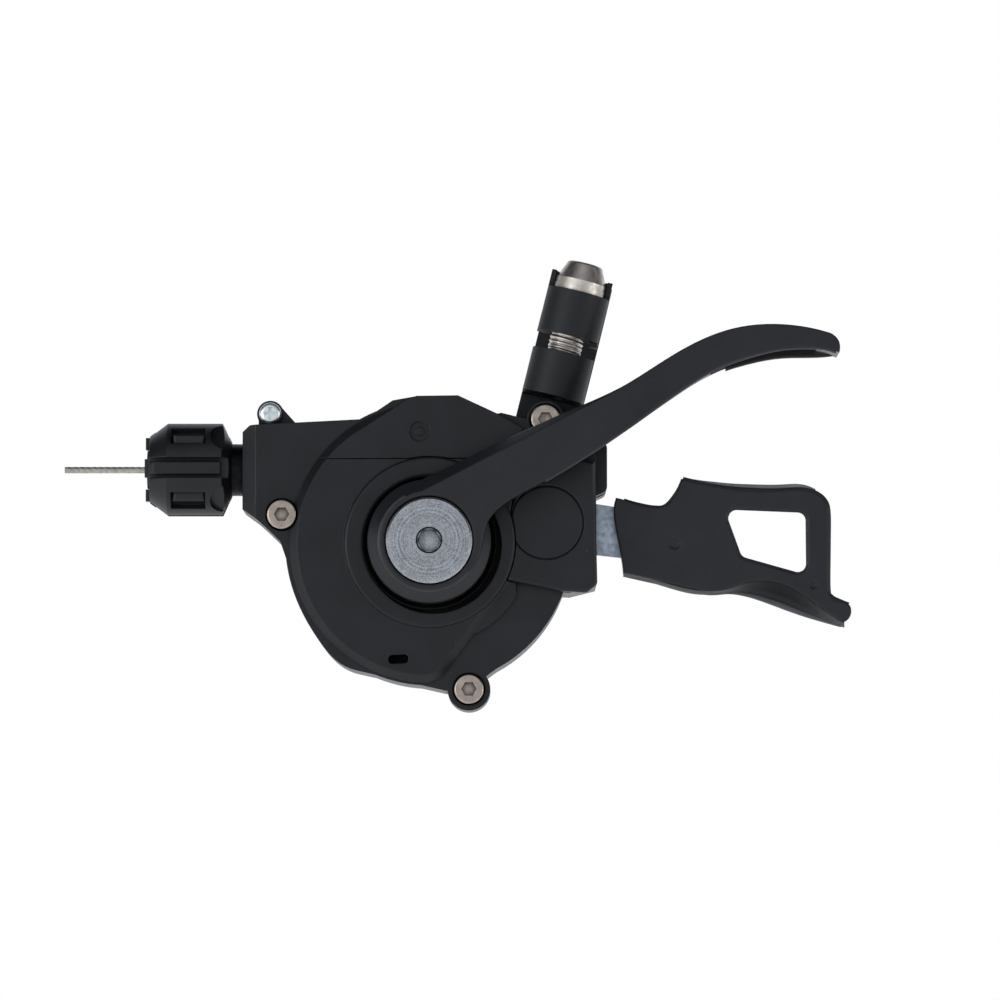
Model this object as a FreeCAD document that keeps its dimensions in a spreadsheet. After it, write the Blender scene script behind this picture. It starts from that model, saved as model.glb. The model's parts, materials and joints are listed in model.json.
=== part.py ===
import FreeCAD, Part
import math
import os
import re
import Sketcher
from FreeCAD import Rotation, Vector

# Trigger shifter. Millimetres. The photograph's right is +X, its top is +Z, the viewer is at -Y.
# Row origin: centre of the bar clamp. Levels are counted toward the viewer from the bar axis.

doc = FreeCAD.newDocument("Shifter")
sheet = doc.addObject("Spreadsheet::Sheet", "Sizes")

# Sizes
sizes = [
    # bar clamp, its bolt and its foot
    ("bar_diameter", 22.2), ("bar_tilt", 14.0), ("band_thickness", 2.5), ("band_width", 11.8),
    ("ear_reach", 10.05), ("ear_radius", 5.85), ("gap_width", 3.35), ("bolt_offset", 15.5),
    ("prong_height", 3.3), ("seat_distance", 15.6), ("foot_depth", 18.0),
    ("clamp_across", 25.45), ("clamp_above", 37.45),
    ("bolt_diameter", 6.0), ("bolt_clearance", 0.25), ("bolt_head_radius", 4.75), ("bolt_head_height", 4.6),
    ("bolt_length", 19.0), ("washer_thickness", 1.1), ("nut_radius", 4.4), ("nut_length", 5.5),
    ("band_screw_radius", 2.0), ("band_screw_head", 3.9), ("band_screw_length", 9.5),
    # case
    ("case_radius", 26.6), ("cavity_radius", 23.6), ("back_wall", 2.0), ("tub_height", 18.0),
    ("block_left", 35.05), ("side_right", 31.3), ("crown_above", 27.6), ("cover_thickness", 3.0),
    ("raise_height", 2.0), ("raise_radius", 24.7), ("raise_slope", 1.4), ("ring_radius", 16.0),
    ("ring_rise", 0.7),
    ("recess_radius", 12.2), ("ledge_radius", 18.9), ("seam_height", 15.6), ("seam_gap", 0.15),
    ("bevel_width", 2.5),
    ("screw_radius", 1.5), ("screw_head_radius", 2.75), ("screw_head_height", 3.0), ("screw_length", 9.0),
    ("screw_hex", 2.5), ("screw_sink", 1.4), ("lug_radius", 4.0),
    ("left_screw_across", 27.6), ("left_screw_above", 5.3), ("low_screw_across", 7.35),
    ("low_screw_below", 27.3), ("top_screw_across", 21.65), ("top_screw_above", 23.1),
    ("lug_screw_across", 29.9), ("lug_screw_above", 24.4), ("lug_screw_head", 2.1),
    ("rear_cap_radius", 21.0), ("rear_cap_depth", 4.4),
    # main lever and its pivot
    ("lever_gap", 2.5), ("arm_thickness", 5.5), ("lever_reach", 76.2), ("pad_depth", 14.0),
    ("hub_radius", 11.5), ("hub_bevel", 2.6), ("hub_sink", 1.0), ("sleeve_radius", 7.4),
    ("head_radius", 8.0), ("head_thickness", 2.2), ("head_sink", 1.6), ("head_gap", 0.25),
    ("head_hex", 4.0), ("axle_radius", 3.5), ("bush_radius", 4.6), ("turn_gap", 0.05),
    ("axle_nut_radius", 6.0), ("axle_nut_length", 3.2),
    # cable entry
    ("adjuster_height", 14.3), ("cable_drop", 8.0), ("cable_radius", 0.6), ("cable_reach", 68.8),
    ("stem_radius", 4.9), ("thread_radius", 4.2), ("knob_left", 52.7), ("knob_right", 37.3),
    ("knob_radius", 8.85),
    ("knob_core", 7.0), ("knob_nose", 0.8), ("flute_width", 3.9), ("rib_width", 2.3),
    ("liner_radius", 3.6), ("liner_length", 5.6), ("socket_radius", 2.55), ("socket_depth", 4.4),
    # winding mechanism
    ("winder_low", 4.3), ("winder_drop", 5.6), ("neck_radius", 6.4), ("groove_gap", 0.1),
    ("flange_height", 1.4),
    ("ratchet_thickness", 1.8), ("ratchet_radius", 13.4), ("tooth_depth", 1.5), ("tooth_count", 24),
    ("plate_thickness", 1.2), ("layer_gap", 0.3), ("pawl_gap", 0.35), ("pawl_pin_radius", 1.5),
    ("wire_radius", 0.4), ("strip_thickness", 0.4), ("spring_radius", 16.0), ("post_radius", 1.2),
    # release lever
    ("release_across", 21.85), ("release_above", 3.7), ("release_pin_radius", 2.5),
    ("release_drop", 8.0), ("release_thickness", 2.0), ("release_front", 15.0), ("release_back", 5.0),
    ("release_reach", 79.0),
]
for row, (name, value) in enumerate(sizes, start=1):
    sheet.set("A%d" % row, name)
    sheet.set("B%d" % row, str(value))
    sheet.setAlias("B%d" % row, name)
doc.recompute()
names = {name for name, value in sizes}

# Levels that are counted down from the tub's rim
levels = {
    "cable_level": "(tub_height - cable_drop)",
    "winder_high": "(tub_height - winder_drop)",
    "release_low": "(tub_height - release_drop)",
}
coverFace = "(tub_height + cover_thickness)"
raiseFace = "(tub_height + cover_thickness + raise_height)"
leverBack = "(tub_height + cover_thickness + raise_height + lever_gap)"
leverFront = "(tub_height + cover_thickness + raise_height + lever_gap + arm_thickness)"
headSeat = "(tub_height + cover_thickness + raise_height + lever_gap + arm_thickness - head_sink)"
headFace = "(" + headSeat + " + head_thickness)"
ratchetTop = "(winder_high + ratchet_thickness)"
plateLow = "(winder_high + ratchet_thickness + layer_gap)"
plateHigh = "(winder_high + ratchet_thickness + layer_gap + plate_thickness)"
boltSeat = "(ear_reach + washer_thickness)"
releaseHigh = "(release_low + release_thickness)"


# Expressions: a size's name in a string stands for its cell, a level's name for its sum

def ex(text):
    def cell(hit):
        word = hit.group(0)
        if word in levels:
            return ex(levels[word])
        return "Sizes." + word if word in names else word
    return re.sub(r"[a-z]+(?:_[a-z]+)+", cell, str(text))


def num(text):
    got = doc.Sizes.evalExpression(ex(text).replace("Sizes.", ""))
    return float(getattr(got, "Value", got))


def bind(thing, prop, text):
    thing.setExpression(prop, ex(text))


# Frames: the pivot's, the clamp's and the adjuster's

def newBody(label, frame="pivot"):
    body = doc.addObject("PartDesign::Body", label)
    body.Label = label
    place(body, frame)
    return body


def place(body, frame):
    if frame == "clamp":
        body.Placement.Rotation = Rotation(Vector(0, 1, 0), 1)
        bind(body, "Placement.Rotation.Angle", "bar_tilt")
        return
    bind(body, "Placement.Base.x", "-clamp_across")
    if frame == "adjuster":
        bind(body, "Placement.Base.y", "-cable_level")
        bind(body, "Placement.Base.z", "adjuster_height - clamp_above")
    elif frame == "release":
        bind(body, "Placement.Base.x", "release_across - clamp_across")
        bind(body, "Placement.Base.z", "release_above - clamp_above")
    else:
        bind(body, "Placement.Base.z", "-clamp_above")


# Sketch helpers: on XZ a sketch's x is X, its y is Z, and a pad rises toward the viewer

def sketch(body, level, plane="XZ_Plane"):
    face = [o for o in body.Origin.OriginFeatures if o.Role == plane][0]
    sk = body.newObject("Sketcher::SketchObject", body.Label + "_sketch")
    sk.AttachmentSupport = [(face, "")]
    sk.MapMode = "FlatFace"
    bind(sk, "AttachmentOffset.Base.z", level)
    return sk


def turned(sk, axis, degrees, reach="0"):
    sk.AttachmentOffset = FreeCAD.Placement(Vector(0, 0, 0), Rotation(axis, degrees))
    bind(sk, "AttachmentOffset.Base.y", "-sin(%g) * (%s)" % (degrees, reach))
    bind(sk, "AttachmentOffset.Base.z", "cos(%g) * (%s)" % (degrees, reach))
    return sk


def pin(sk, geo, pos, x, z):
    for kind, text in (("DistanceX", x), ("DistanceY", z)):
        at = sk.addConstraint(Sketcher.Constraint(kind, -1, 1, geo, pos, num(text)))
        bind(sk, "Constraints[%d]" % at, text)


def polygon(sk, points):
    start = sk.GeometryCount
    count = len(points)
    spots = [Vector(num(x), num(z), 0) for x, z in points]
    for i in range(count):
        sk.addGeometry(Part.LineSegment(spots[i], spots[(i + 1) % count]))
    for i in range(count):
        sk.addConstraint(Sketcher.Constraint("Coincident", start + i, 2, start + (i + 1) % count, 1))
    for i in range(count):
        pin(sk, start + i, 1, *points[i])
    return sk


def circle(sk, x, z, radius):
    geo = sk.addGeometry(Part.Circle(Vector(num(x), num(z), 0), Vector(0, 0, 1), num(radius)))
    pin(sk, geo, 3, x, z)
    at = sk.addConstraint(Sketcher.Constraint("Radius", geo, num(radius)))
    bind(sk, "Constraints[%d]" % at, radius)
    return sk


def box(sk, left, low, right, high):
    return polygon(sk, [(left, low), (right, low), (right, high), (left, high)])


def hexagon(sk, x, z, across):
    spots = []
    for i in range(6):
        spots.append(("%s + %s / 2 / cos(30) * cos(%d)" % (x, across, 60 * i),
                      "%s + %s / 2 / cos(30) * sin(%d)" % (z, across, 60 * i)))
    return polygon(sk, spots)


def spline(sk, points):
    curve = Part.BSplineCurve()
    curve.interpolate([Vector(x, z, 0) for x, z in points])
    sk.addGeometry(curve)


def line(sk, a, b):
    sk.addGeometry(Part.LineSegment(Vector(a[0], a[1], 0), Vector(b[0], b[1], 0)))


def chain(sk, points):
    for a, b in zip(points, points[1:]):
        line(sk, a, b)


def arc(sk, x, z, radius, start, end):
    ring = Part.Circle(Vector(x, z, 0), Vector(0, 0, 1), radius)
    sk.addGeometry(Part.ArcOfCircle(ring, math.radians(start), math.radians(end)))


def feature(body, kind, sk, length, **more):
    made = body.newObject("PartDesign::" + kind, body.Label + "_" + kind.lower())
    made.Profile = sk
    bind(made, "Length", length)
    for key, value in more.items():
        setattr(made, key, value)
    sk.Visibility = False
    return made


def pad(body, sk, length, **more):
    return feature(body, "Pad", sk, length, **more)


def pocket(body, sk, depth, **more):
    return feature(body, "Pocket", sk, depth, **more)


def revolve(body, sk, axis="H_Axis", kind="Revolution"):
    made = body.newObject("PartDesign::" + kind, body.Label + "_" + kind.lower())
    made.Profile = sk
    made.ReferenceAxis = (sk, [axis])
    made.Angle = 360.0
    return made


def roundX(body, cuts, count):
    made = body.newObject("PartDesign::PolarPattern", body.Label + "_round")
    made.Originals = cuts
    made.Axis = ([o for o in body.Origin.OriginFeatures if o.Role == "X_Axis"][0], [""])
    made.Angle = 360.0
    made.Occurrences = count
    body.Tip = made
    doc.recompute()
    return made


def dress(body, kind, size, pick):
    doc.recompute()
    tip = body.Tip
    edges = ["Edge%d" % (i + 1) for i, edge in enumerate(tip.Shape.Edges) if pick(edge)]
    made = body.newObject("PartDesign::" + kind, body.Label + "_" + kind.lower())
    made.Base = (tip, edges)
    bind(made, "Radius" if kind == "Fillet" else "Size", size)
    doc.recompute()
    return made


def flatAt(edge, level, slack=1e-4):
    rises = [v.Y for v in edge.Vertexes] + [edge.CenterOfMass.y]
    return all(abs(y + num(level)) < slack for y in rises)


def uprightAt(edge, x, z, reach=0.6):
    a = edge.Vertexes[0].Point
    b = edge.Vertexes[-1].Point
    upright = abs(a.x - b.x) < 1e-4 and abs(a.z - b.z) < 1e-4 and abs(a.y - b.y) > 0.1
    return upright and math.hypot(a.x - num(x), a.z - num(z)) < reach


def roundOn(edge, radius, slack=1e-3):
    return edge.Curve.TypeId == "Part::GeomCircle" and abs(edge.Curve.Radius - num(radius)) < slack


def seatPoint(along, drop="seat_distance"):
    return ("clamp_across - sin(bar_tilt) * %s + cos(bar_tilt) * (%s)" % (drop, along),
            "clamp_above - cos(bar_tilt) * %s - sin(bar_tilt) * (%s)" % (drop, along))


screwSpots = [("-left_screw_across", "left_screw_above"), ("low_screw_across", "-low_screw_below"),
              ("top_screw_across", "top_screw_above")]


def caseOutline(right, notch):
    left = [
        ("-block_left + 2.8", "adjuster_height - 9.9"),
        ("-block_left", "adjuster_height - 7.85"),
        ("-block_left", "adjuster_height + 6.6"),
        ("-block_left + 1.4", "adjuster_height + 7.8"),
        ("-12.1", "adjuster_height + 8.9"),
        ("-6.9", "crown_above - 0.9"),
        ("-2.4", "crown_above - 0.1"),
        ("5.3", "crown_above"),
        ("12.6", "crown_above - 3.4"),
    ]
    last = [("14.0", "-case_radius + 17.8"), ("0", "0"), ("-case_radius - 0.2", "-2.9"),
            ("-case_radius - 1.3", "0.3"), ("-case_radius - 4.1", "3.0")]
    return left + [seatPoint("-8.5"), seatPoint(notch)] + right + last


def lowFlange(sk):
    share = num("case_radius") / 26.6
    rim = [(-26.8, -2.9), (-25.75, -8.05), (-20.6, -18.3), (-17.35, -22.0), (-14.1, -23.7)]
    rim = [(x * share, z * share) for x, z in rim]
    lug = (num("low_screw_across"), -num("low_screw_below"))
    spline(sk, rim)
    chain(sk, [rim[-1], (lug[0] - 4.3, lug[1] - 0.3), lug, (12.6 * share, -23.4 * share), (0, 0), rim[0]])
    return sk


# Base body: tub with the adjuster block, bosses and the clamp's seat
base = newBody("base_body")
pad(base, circle(sketch(base, "-back_wall"), "0", "0", "case_radius"), "tub_height + back_wall")
tubRight = [("side_right + 1.9", "18.65"), ("side_right + 1.9", "9.9"), ("side_right - 0.2", "9.0"),
            ("side_right - 0.2", "-8.1"), ("26.3", "-9.3")]
pad(base, polygon(sketch(base, "-back_wall"), caseOutline(tubRight, "9.0")), "tub_height + back_wall")
pad(base, lowFlange(sketch(base, "-back_wall")), "tub_height + back_wall")
for height in ("18.65", "9.9"):
    dress(base, "Fillet", "1.3", lambda e: uprightAt(e, "side_right + 1.9", height))
pad(base, circle(sketch(base, "6"), *screwSpots[1], "lug_radius"), "tub_height - 6")
pad(base, circle(sketch(base, "foot_depth / 2 + 1.2"), *screwSpots[2], "lug_radius - 0.5"),
    "tub_height - foot_depth / 2 - 1.2")
pad(base, circle(sketch(base, "tub_height - 5"), "-lug_screw_across", "lug_screw_above",
                 "lug_screw_head + 0.4"), "4")
pad(base, polygon(sketch(base, "tub_height - 5"), [
    ("-lug_screw_across - 2.2", "adjuster_height + 7.4"),
    ("-lug_screw_across - 2.2", "lug_screw_above - 0.9"),
    ("-lug_screw_across + 1.8", "lug_screw_above + 1.6"),
    ("-lug_screw_across + 5.2", "adjuster_height + 7.9")]), "4")
doc.recompute()
dress(base, "Chamfer", "1.2", lambda e: flatAt(e, "-back_wall") and not roundOn(e, "axle_radius"))
pocket(base, circle(sketch(base, "tub_height"), "0", "0", "cavity_radius"), "tub_height")
pocket(base, box(sketch(base, "tub_height"), "14", "-6.6", "side_right - 2.4", "12.4"),
       "tub_height - release_low + 3")
pocket(base, box(sketch(base, "release_low + release_thickness + 0.5"), "20", "-4.6", "side_right + 4",
                 "11.6"),
       "release_thickness + 1.0")
pocket(base, circle(sketch(base, "tub_height"), "0", "0", "axle_radius + turn_gap / 2"),
       "tub_height + back_wall + 1")
for x, z in screwSpots:
    pocket(base, circle(sketch(base, "tub_height"), x, z, "screw_radius"),
           "screw_length - cover_thickness + 1.6")
pocket(base, circle(sketch(base, "tub_height - 1"), "-lug_screw_across", "lug_screw_above", "1.1"), "3.4")
stemHole = circle(sketch(base, "-block_left - 1", "YZ_Plane"), "-cable_level", "adjuster_height",
                  "stem_radius")
pocket(base, stemHole, "8", Reversed=True)
cableHole = sketch(base, "-block_left - 1", "YZ_Plane")
circle(cableHole, "-cable_level", "adjuster_height", "cable_radius + 0.5")
pocket(base, cableHole, "block_left - 10", Reversed=True)
pad(base, circle(sketch(base, "-0.5"), "release_across", "release_above", "release_pin_radius + 1.8"),
    "release_low - layer_gap + 0.5")
pocket(base, circle(sketch(base, "release_low - layer_gap"), "release_across", "release_above",
                    "release_pin_radius"),
       "7 - layer_gap")
pad(base, circle(sketch(base, "-0.5"), "spring_radius + post_radius", "0", "post_radius"),
    "winder_low - layer_gap + 0.5")
pawlSpot = ("-16.6", "-11.2")
pocket(base, circle(sketch(base, "0"), *pawlSpot, "pawl_pin_radius"), "back_wall - 0.5")
doc.recompute()
screwWay = sketch(base, "0")
boreEnd = "(bar_diameter / 2 + band_screw_length + 1.0)"
polygon(screwWay, [seatPoint("-band_screw_radius", "(seat_distance - 0.5)"),
                   seatPoint("0", "(seat_distance - 0.5)"),
                   seatPoint("0", boreEnd), seatPoint("-band_screw_radius", boreEnd)])
bore = revolve(base, screwWay, "Edge2", "Groove")
doc.recompute()

# Front cover: plate, raised round with a sloping wall, ring, recess and bores
front = newBody("front_cover")
pad(front, circle(sketch(front, "tub_height"), "0", "0", "case_radius"), "cover_thickness")
coverRight = [("side_right - 0.2", "16.0"), ("side_right - 0.2", "-8.1"), ("26.3", "-9.3")]
pad(front, polygon(sketch(front, "tub_height"), caseOutline(coverRight, "8.5")), "cover_thickness")
pad(front, lowFlange(sketch(front, "tub_height")), "cover_thickness")
pad(front, circle(sketch(front, "tub_height"), *screwSpots[1], "lug_radius"), "cover_thickness")
pad(front, circle(sketch(front, "tub_height"), *screwSpots[2], "lug_radius - 0.5"), "cover_thickness")
dress(front, "Chamfer", "bevel_width",
      lambda e: flatAt(e, coverFace) and abs(e.CenterOfMass.x + num("block_left")) < 0.01)
pad(front, circle(sketch(front, coverFace), "0", "0", "raise_radius + raise_slope"), "raise_height")
chord = [("-2.4", "-31.4"), ("38.0", "23.1"), ("60.0", "-31.4")]
pocket(front, polygon(sketch(front, raiseFace), chord), "raise_height")
dress(front, "Fillet", "5.0", lambda e: uprightAt(e, "1.6", "-26.0", 1.2))
dress(front, "Chamfer", "raise_slope", lambda e: flatAt(e, raiseFace))
pad(front, circle(sketch(front, coverFace), "0", "0", "ledge_radius"), "raise_height / 2")
pocket(front, box(sketch(front, raiseFace), "-40", "seam_height", "40", "40"), "raise_height")
pocket(front, box(sketch(front, raiseFace), "ring_radius + 0.05", "-30", "40", "40"), "raise_height")
pocket(front, polygon(sketch(front, raiseFace), [
    ("13.2", "-6.75 - seam_gap"), ("24.6", "-9.1 - seam_gap"), ("24.6", "12.0"), ("ring_radius", "12.0")]),
       "raise_height")
ringFace = raiseFace + " + ring_rise"
pad(front, circle(sketch(front, coverFace), "0", "0", "ring_radius"), "raise_height + ring_rise")
pocket(front, circle(sketch(front, ringFace), "0", "0", "recess_radius"),
       "raise_height + ring_rise + hub_sink + 0.5")
dress(front, "Fillet", "0.65", lambda e: flatAt(e, ringFace))
crescent = sketch(front, ringFace)
ridgeRadius = num("recess_radius") + 0.3
wideRadius = num("recess_radius") + 0.55
shift = 0.9
reachOut = (ridgeRadius ** 2 + shift ** 2 - wideRadius ** 2) / (2 * shift)
inAngle = math.degrees(math.acos(reachOut / ridgeRadius))
outAngle = math.degrees(math.acos((reachOut - shift) / wideRadius))
lean = -40.0
arc(crescent, 0, 0, ridgeRadius, lean - inAngle, lean + inAngle)
arc(crescent, shift * math.cos(math.radians(lean)), shift * math.sin(math.radians(lean)), wideRadius,
    lean - outAngle, lean + outAngle)
pocket(front, crescent, "raise_height + ring_rise")
pocket(front, circle(sketch(front, coverFace), "0", "0", "sleeve_radius + 0.3"), "cover_thickness + 1")
slotCorners = [("-7.7", "-22.7"), ("-3.9", "-22.5"), ("-3.9", "-20.8"), ("-7.7", "-21.0")]
pocket(front, polygon(sketch(front, raiseFace), slotCorners), "raise_height + 1.5")
dress(front, "Fillet", "0.75", lambda e: any(uprightAt(e, x, z, 0.05) for x, z in slotCorners))
for x, z in screwSpots:
    pocket(front, circle(sketch(front, raiseFace), x, z, "screw_head_radius + 0.3"),
           "raise_height + screw_sink")
    pocket(front, circle(sketch(front, coverFace), x, z, "screw_radius + 0.1"), "cover_thickness + 1")
pocket(front, circle(sketch(front, "tub_height + 1"), "release_across", "release_above",
                     "release_pin_radius"), "2")

# Upper cover above the seam
upper = newBody("upper_cover")
upperOutline = sketch(upper, coverFace)
rimRadius = num("raise_radius + raise_slope")
seamLine = num("seam_height + seam_gap")
crown = num("crown_above")
arcStart = 104.0
arcEnd = 180 - math.degrees(math.asin(seamLine / rimRadius))
arc(upperOutline, 0, 0, rimRadius, arcStart, arcEnd)
chain(upperOutline, [
    (rimRadius * math.cos(math.radians(arcStart)), rimRadius * math.sin(math.radians(arcStart))),
    (-3.9, crown - 0.7), (-2.4, crown - 0.2), (5.3, crown - 0.1), (12.6, crown - 3.5), (17.3, crown - 6.2),
    (17.3, seamLine), (rimRadius * math.cos(math.radians(arcEnd)), seamLine)])
pad(upper, upperOutline, "raise_height")
dress(upper, "Chamfer", "raise_slope",
      lambda e: flatAt(e, raiseFace) and roundOn(e, "raise_radius + raise_slope"))
pocket(upper, circle(sketch(upper, raiseFace), "0", "0", "ring_radius + seam_gap"), "raise_height")
ringSketch = circle(sketch(upper, raiseFace), "-1.85", "20.75", "1.9")
circle(ringSketch, "-1.85", "20.75", "0.8")
pocket(upper, ringSketch, "0.45")

# Side cover with the round mark over the release pivot
side = newBody("side_cover")
sideFace = raiseFace + " + 0.2"
pad(side, polygon(sketch(side, coverFace), [
    ("13.4", "-6.8"), ("24.6", "-9.1"), ("29.3", "-9.4"), ("side_right", "-7.8"),
    ("side_right - 0.5", "15.0"), ("side_right - 2.4", "seam_height"), ("17.45", "seam_height"),
    ("17.45", "seam_height - 1.5"), ("ring_radius + seam_gap", "12.0")]), "raise_height + 0.2")
dress(side, "Fillet", "1.0", lambda e: uprightAt(e, "29.3", "-9.4") or uprightAt(e, "side_right", "-7.8"))
dress(side, "Fillet", "0.7", lambda e: flatAt(e, sideFace))
pocket(side, circle(sketch(side, sideFace), "0", "0", "ring_radius + seam_gap"), "raise_height + 0.2")
mark = circle(sketch(side, sideFace), "release_across", "release_above", "7.0")
circle(mark, "release_across", "release_above", "6.65")
pocket(side, mark, "0.4")


# Rear cap over the axle nut
rear = newBody("rear_cap")
pad(rear, circle(sketch(rear, "-back_wall - rear_cap_depth"), "0", "0", "rear_cap_radius"), "rear_cap_depth")
dress(rear, "Fillet", "2.6", lambda e: flatAt(e, "-back_wall - rear_cap_depth"))
pocket(rear, circle(sketch(rear, "-back_wall"), "0", "0", "axle_nut_radius + 1"), "rear_cap_depth - 0.8")

# Main lever: hub, bevelled arm and hollow thumb pad
lever = newBody("main_lever")
grow = num("lever_reach") / 76.2


def along(points):
    return [(x * grow, z * grow) for x, z in points]


topEdge = along([(-6.6, 9.4), (0.2, 12.2), (15.4, 19.5), (28.75, 25.3), (36.4, 28.9), (41.8, 32.3),
                 (48.5, 36.35),
                 (56.6, 39.5), (65.6, 40.25), (74.6, 38.6)])
lowEdge = along([(76.2, 35.0), (72.3, 35.9), (65.6, 35.7), (58.9, 34.1), (52.1, 31.4), (45.4, 27.1),
                 (37.8, 21.6), (29.2, 15.75), (21.5, 11.05), (14.1, 6.9), (10.9, 3.6), (9.9, 0.0),
                 (9.2, -3.0), (7.4, -5.9)])
face = sketch(lever, leverFront + " - pad_depth")
spline(face, topEdge)
spline(face, [topEdge[-1], (76.1 * grow, 37.1 * grow), lowEdge[0]])
spline(face, lowEdge)
chain(face, [lowEdge[-1], (0, 0), topEdge[0]])
pad(lever, face, "pad_depth")
frontY = -num(leverFront)
backY = -num(leverBack)
deepY = -num(leverFront + " - pad_depth")
dip = turned(sketch(lever, "0", "XY_Plane"), Vector(0, 1, 0), -22)
spline(dip, [(43.9 * grow, frontY), (50.0 * grow, frontY + 0.6), (57.5 * grow, frontY + 1.0),
             (92.0 * grow, frontY + 1.3)])
chain(dip, [(92.0 * grow, frontY + 1.3), (92.0 * grow, frontY - 2), (43.9 * grow, frontY - 2),
            (43.9 * grow, frontY)])
pocket(lever, dip, "60", Reversed=True)
bevel = []
for x, z in ((-9.0, 5.1), (36.0, 28.4), (46.0, 35.0)):
    wedge = sketch(lever, "%g * lever_reach / 76.2" % x, "YZ_Plane")
    chain(wedge, [(frontY - 0.7, z * grow - 0.5), (frontY + 8.4, z * grow + 6), (frontY - 0.7, z * grow + 6),
                  (frontY - 0.7, z * grow - 0.5)])
    bevel.append(wedge)
cutAway = lever.newObject("PartDesign::SubtractiveLoft", "main_lever_bevel")
cutAway.Profile = bevel[0]
cutAway.Sections = bevel[1:]
cutAway.Ruled = True
doc.recompute()
under = sketch(lever, "-hub_radius", "XY_Plane")
rootCurve = [(31.0 * grow, backY), (38.0 * grow, backY + 1.2), (46.0 * grow, deepY - 2.4),
             (52.0 * grow, deepY - 0.2),
             (55.0 * grow, deepY + 0.6)]
spline(under, rootCurve)
chain(under, [rootCurve[-1], (55.0 * grow, deepY + 3), (-30, deepY + 3), (-30, backY), rootCurve[0]])
pocket(lever, under, "60 + hub_radius", Reversed=True)
backRim = sketch(lever, leverFront + " - pad_depth")
rimLow = along([(75.4, 35.2), (72.9, 34.95), (66.1, 34.8), (59.4, 33.6), (55.4, 32.4)])
rimHigh = [(x, z + 2.0) for x, z in rimLow]
spline(backRim, rimLow)
line(backRim, rimLow[-1], rimHigh[-1])
spline(backRim, rimHigh[::-1])
line(backRim, rimHigh[0], rimLow[0])
pad(lever, backRim, "1.6")
hollow = sketch(lever, leverFront + " - 3.3")
low = [(x, z - 3.0) for x, z in lowEdge[1:5]]
high = along([(72.0, 37.4), (66.2, 38.0), (60.0, 37.6), (53.0, 35.6)])
spline(hollow, low)
line(hollow, low[-1], high[-1])
spline(hollow, high[::-1])
line(hollow, high[0], low[0])
pocket(lever, hollow, "pad_depth - 4.9")
hubLow = "(tub_height + cover_thickness - hub_sink)"
pad(lever, circle(sketch(lever, hubLow), "0", "0", "hub_radius"), leverFront + " - hub_bevel - " + hubLow)
pad(lever, circle(sketch(lever, leverFront + " - hub_bevel"), "0", "0", "hub_radius"), "hub_bevel",
    TaperAngle=-42.0)
pad(lever, circle(sketch(lever, plateHigh), "0", "0", "sleeve_radius"), hubLow + " - " + plateHigh)
pocket(lever, circle(sketch(lever, leverFront), "0", "0", "head_radius + head_gap"), "head_sink + turn_gap")
pocket(lever, circle(sketch(lever, leverFront), "0", "0", "bush_radius + turn_gap"), leverFront)
doc.recompute()


# Pivot bolt, bush, nut and washer
bolt = newBody("pivot_bolt")
pad(bolt, circle(sketch(bolt, headSeat), "0", "0", "head_radius"), "head_thickness")
pad(bolt, circle(sketch(bolt, "-back_wall - axle_nut_length - 0.4"), "0", "0", "axle_radius"),
    headSeat + " + back_wall + axle_nut_length + 0.4")
dress(bolt, "Chamfer", "0.35", lambda e: flatAt(e, headFace))
pocket(bolt, hexagon(sketch(bolt, headFace), "0", "0", "head_hex"), "2.4")
ringCut = circle(sketch(bolt, headFace), "0", "0", "head_hex / 2 + 0.5")
pocket(bolt, ringCut, "0.25")

bush = newBody("axle_bush")
tube = circle(sketch(bush, "0"), "0", "0", "bush_radius")
circle(tube, "0", "0", "axle_radius + turn_gap / 2")
pad(bush, tube, headSeat)

nut = newBody("axle_nut")
cap = hexagon(sketch(nut, "-back_wall - axle_nut_length"), "0", "0", "axle_nut_radius * 2 * cos(30)")
circle(cap, "0", "0", "axle_radius + turn_gap / 2")
pad(nut, cap, "axle_nut_length")

washer = newBody("thrust_washer")
flat = circle(sketch(washer, "0"), "0", "0", "bush_radius + 4")
circle(flat, "0", "0", "bush_radius + turn_gap")
pad(washer, flat, "0.8")

# Winder with its cable groove, and the ratchet wheel on it
winder = newBody("winder")
profile = sketch(winder, "0", "YZ_Plane")
groove = "(adjuster_height - cable_radius - groove_gap)"
rim = "(adjuster_height + flange_height)"
polygon(profile, [
    ("-winder_low", "bush_radius + turn_gap"), ("-winder_low", rim),
    ("-cable_level + cable_radius + groove_gap + 0.5", rim),
    ("-cable_level + cable_radius + groove_gap", groove),
    ("-cable_level - cable_radius - groove_gap", groove),
    ("-cable_level - cable_radius - groove_gap - 0.5", rim),
    ("-winder_high", rim), ("-winder_high", "bush_radius + turn_gap")])
revolve(winder, profile, "H_Axis")
neck = circle(sketch(winder, "0.95"), "0", "0", "neck_radius")
circle(neck, "0", "0", "bush_radius + turn_gap")
pad(winder, neck, "winder_low - 0.95")
headTurn = "60"
headSpot = ("(adjuster_height - 1.3) * sin(%s)" % headTurn, "(adjuster_height - 1.3) * cos(%s)" % headTurn)
pocket(winder, circle(sketch(winder, "winder_high"), *headSpot, "2.4"), "winder_high - cable_level + 2.4")

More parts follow.
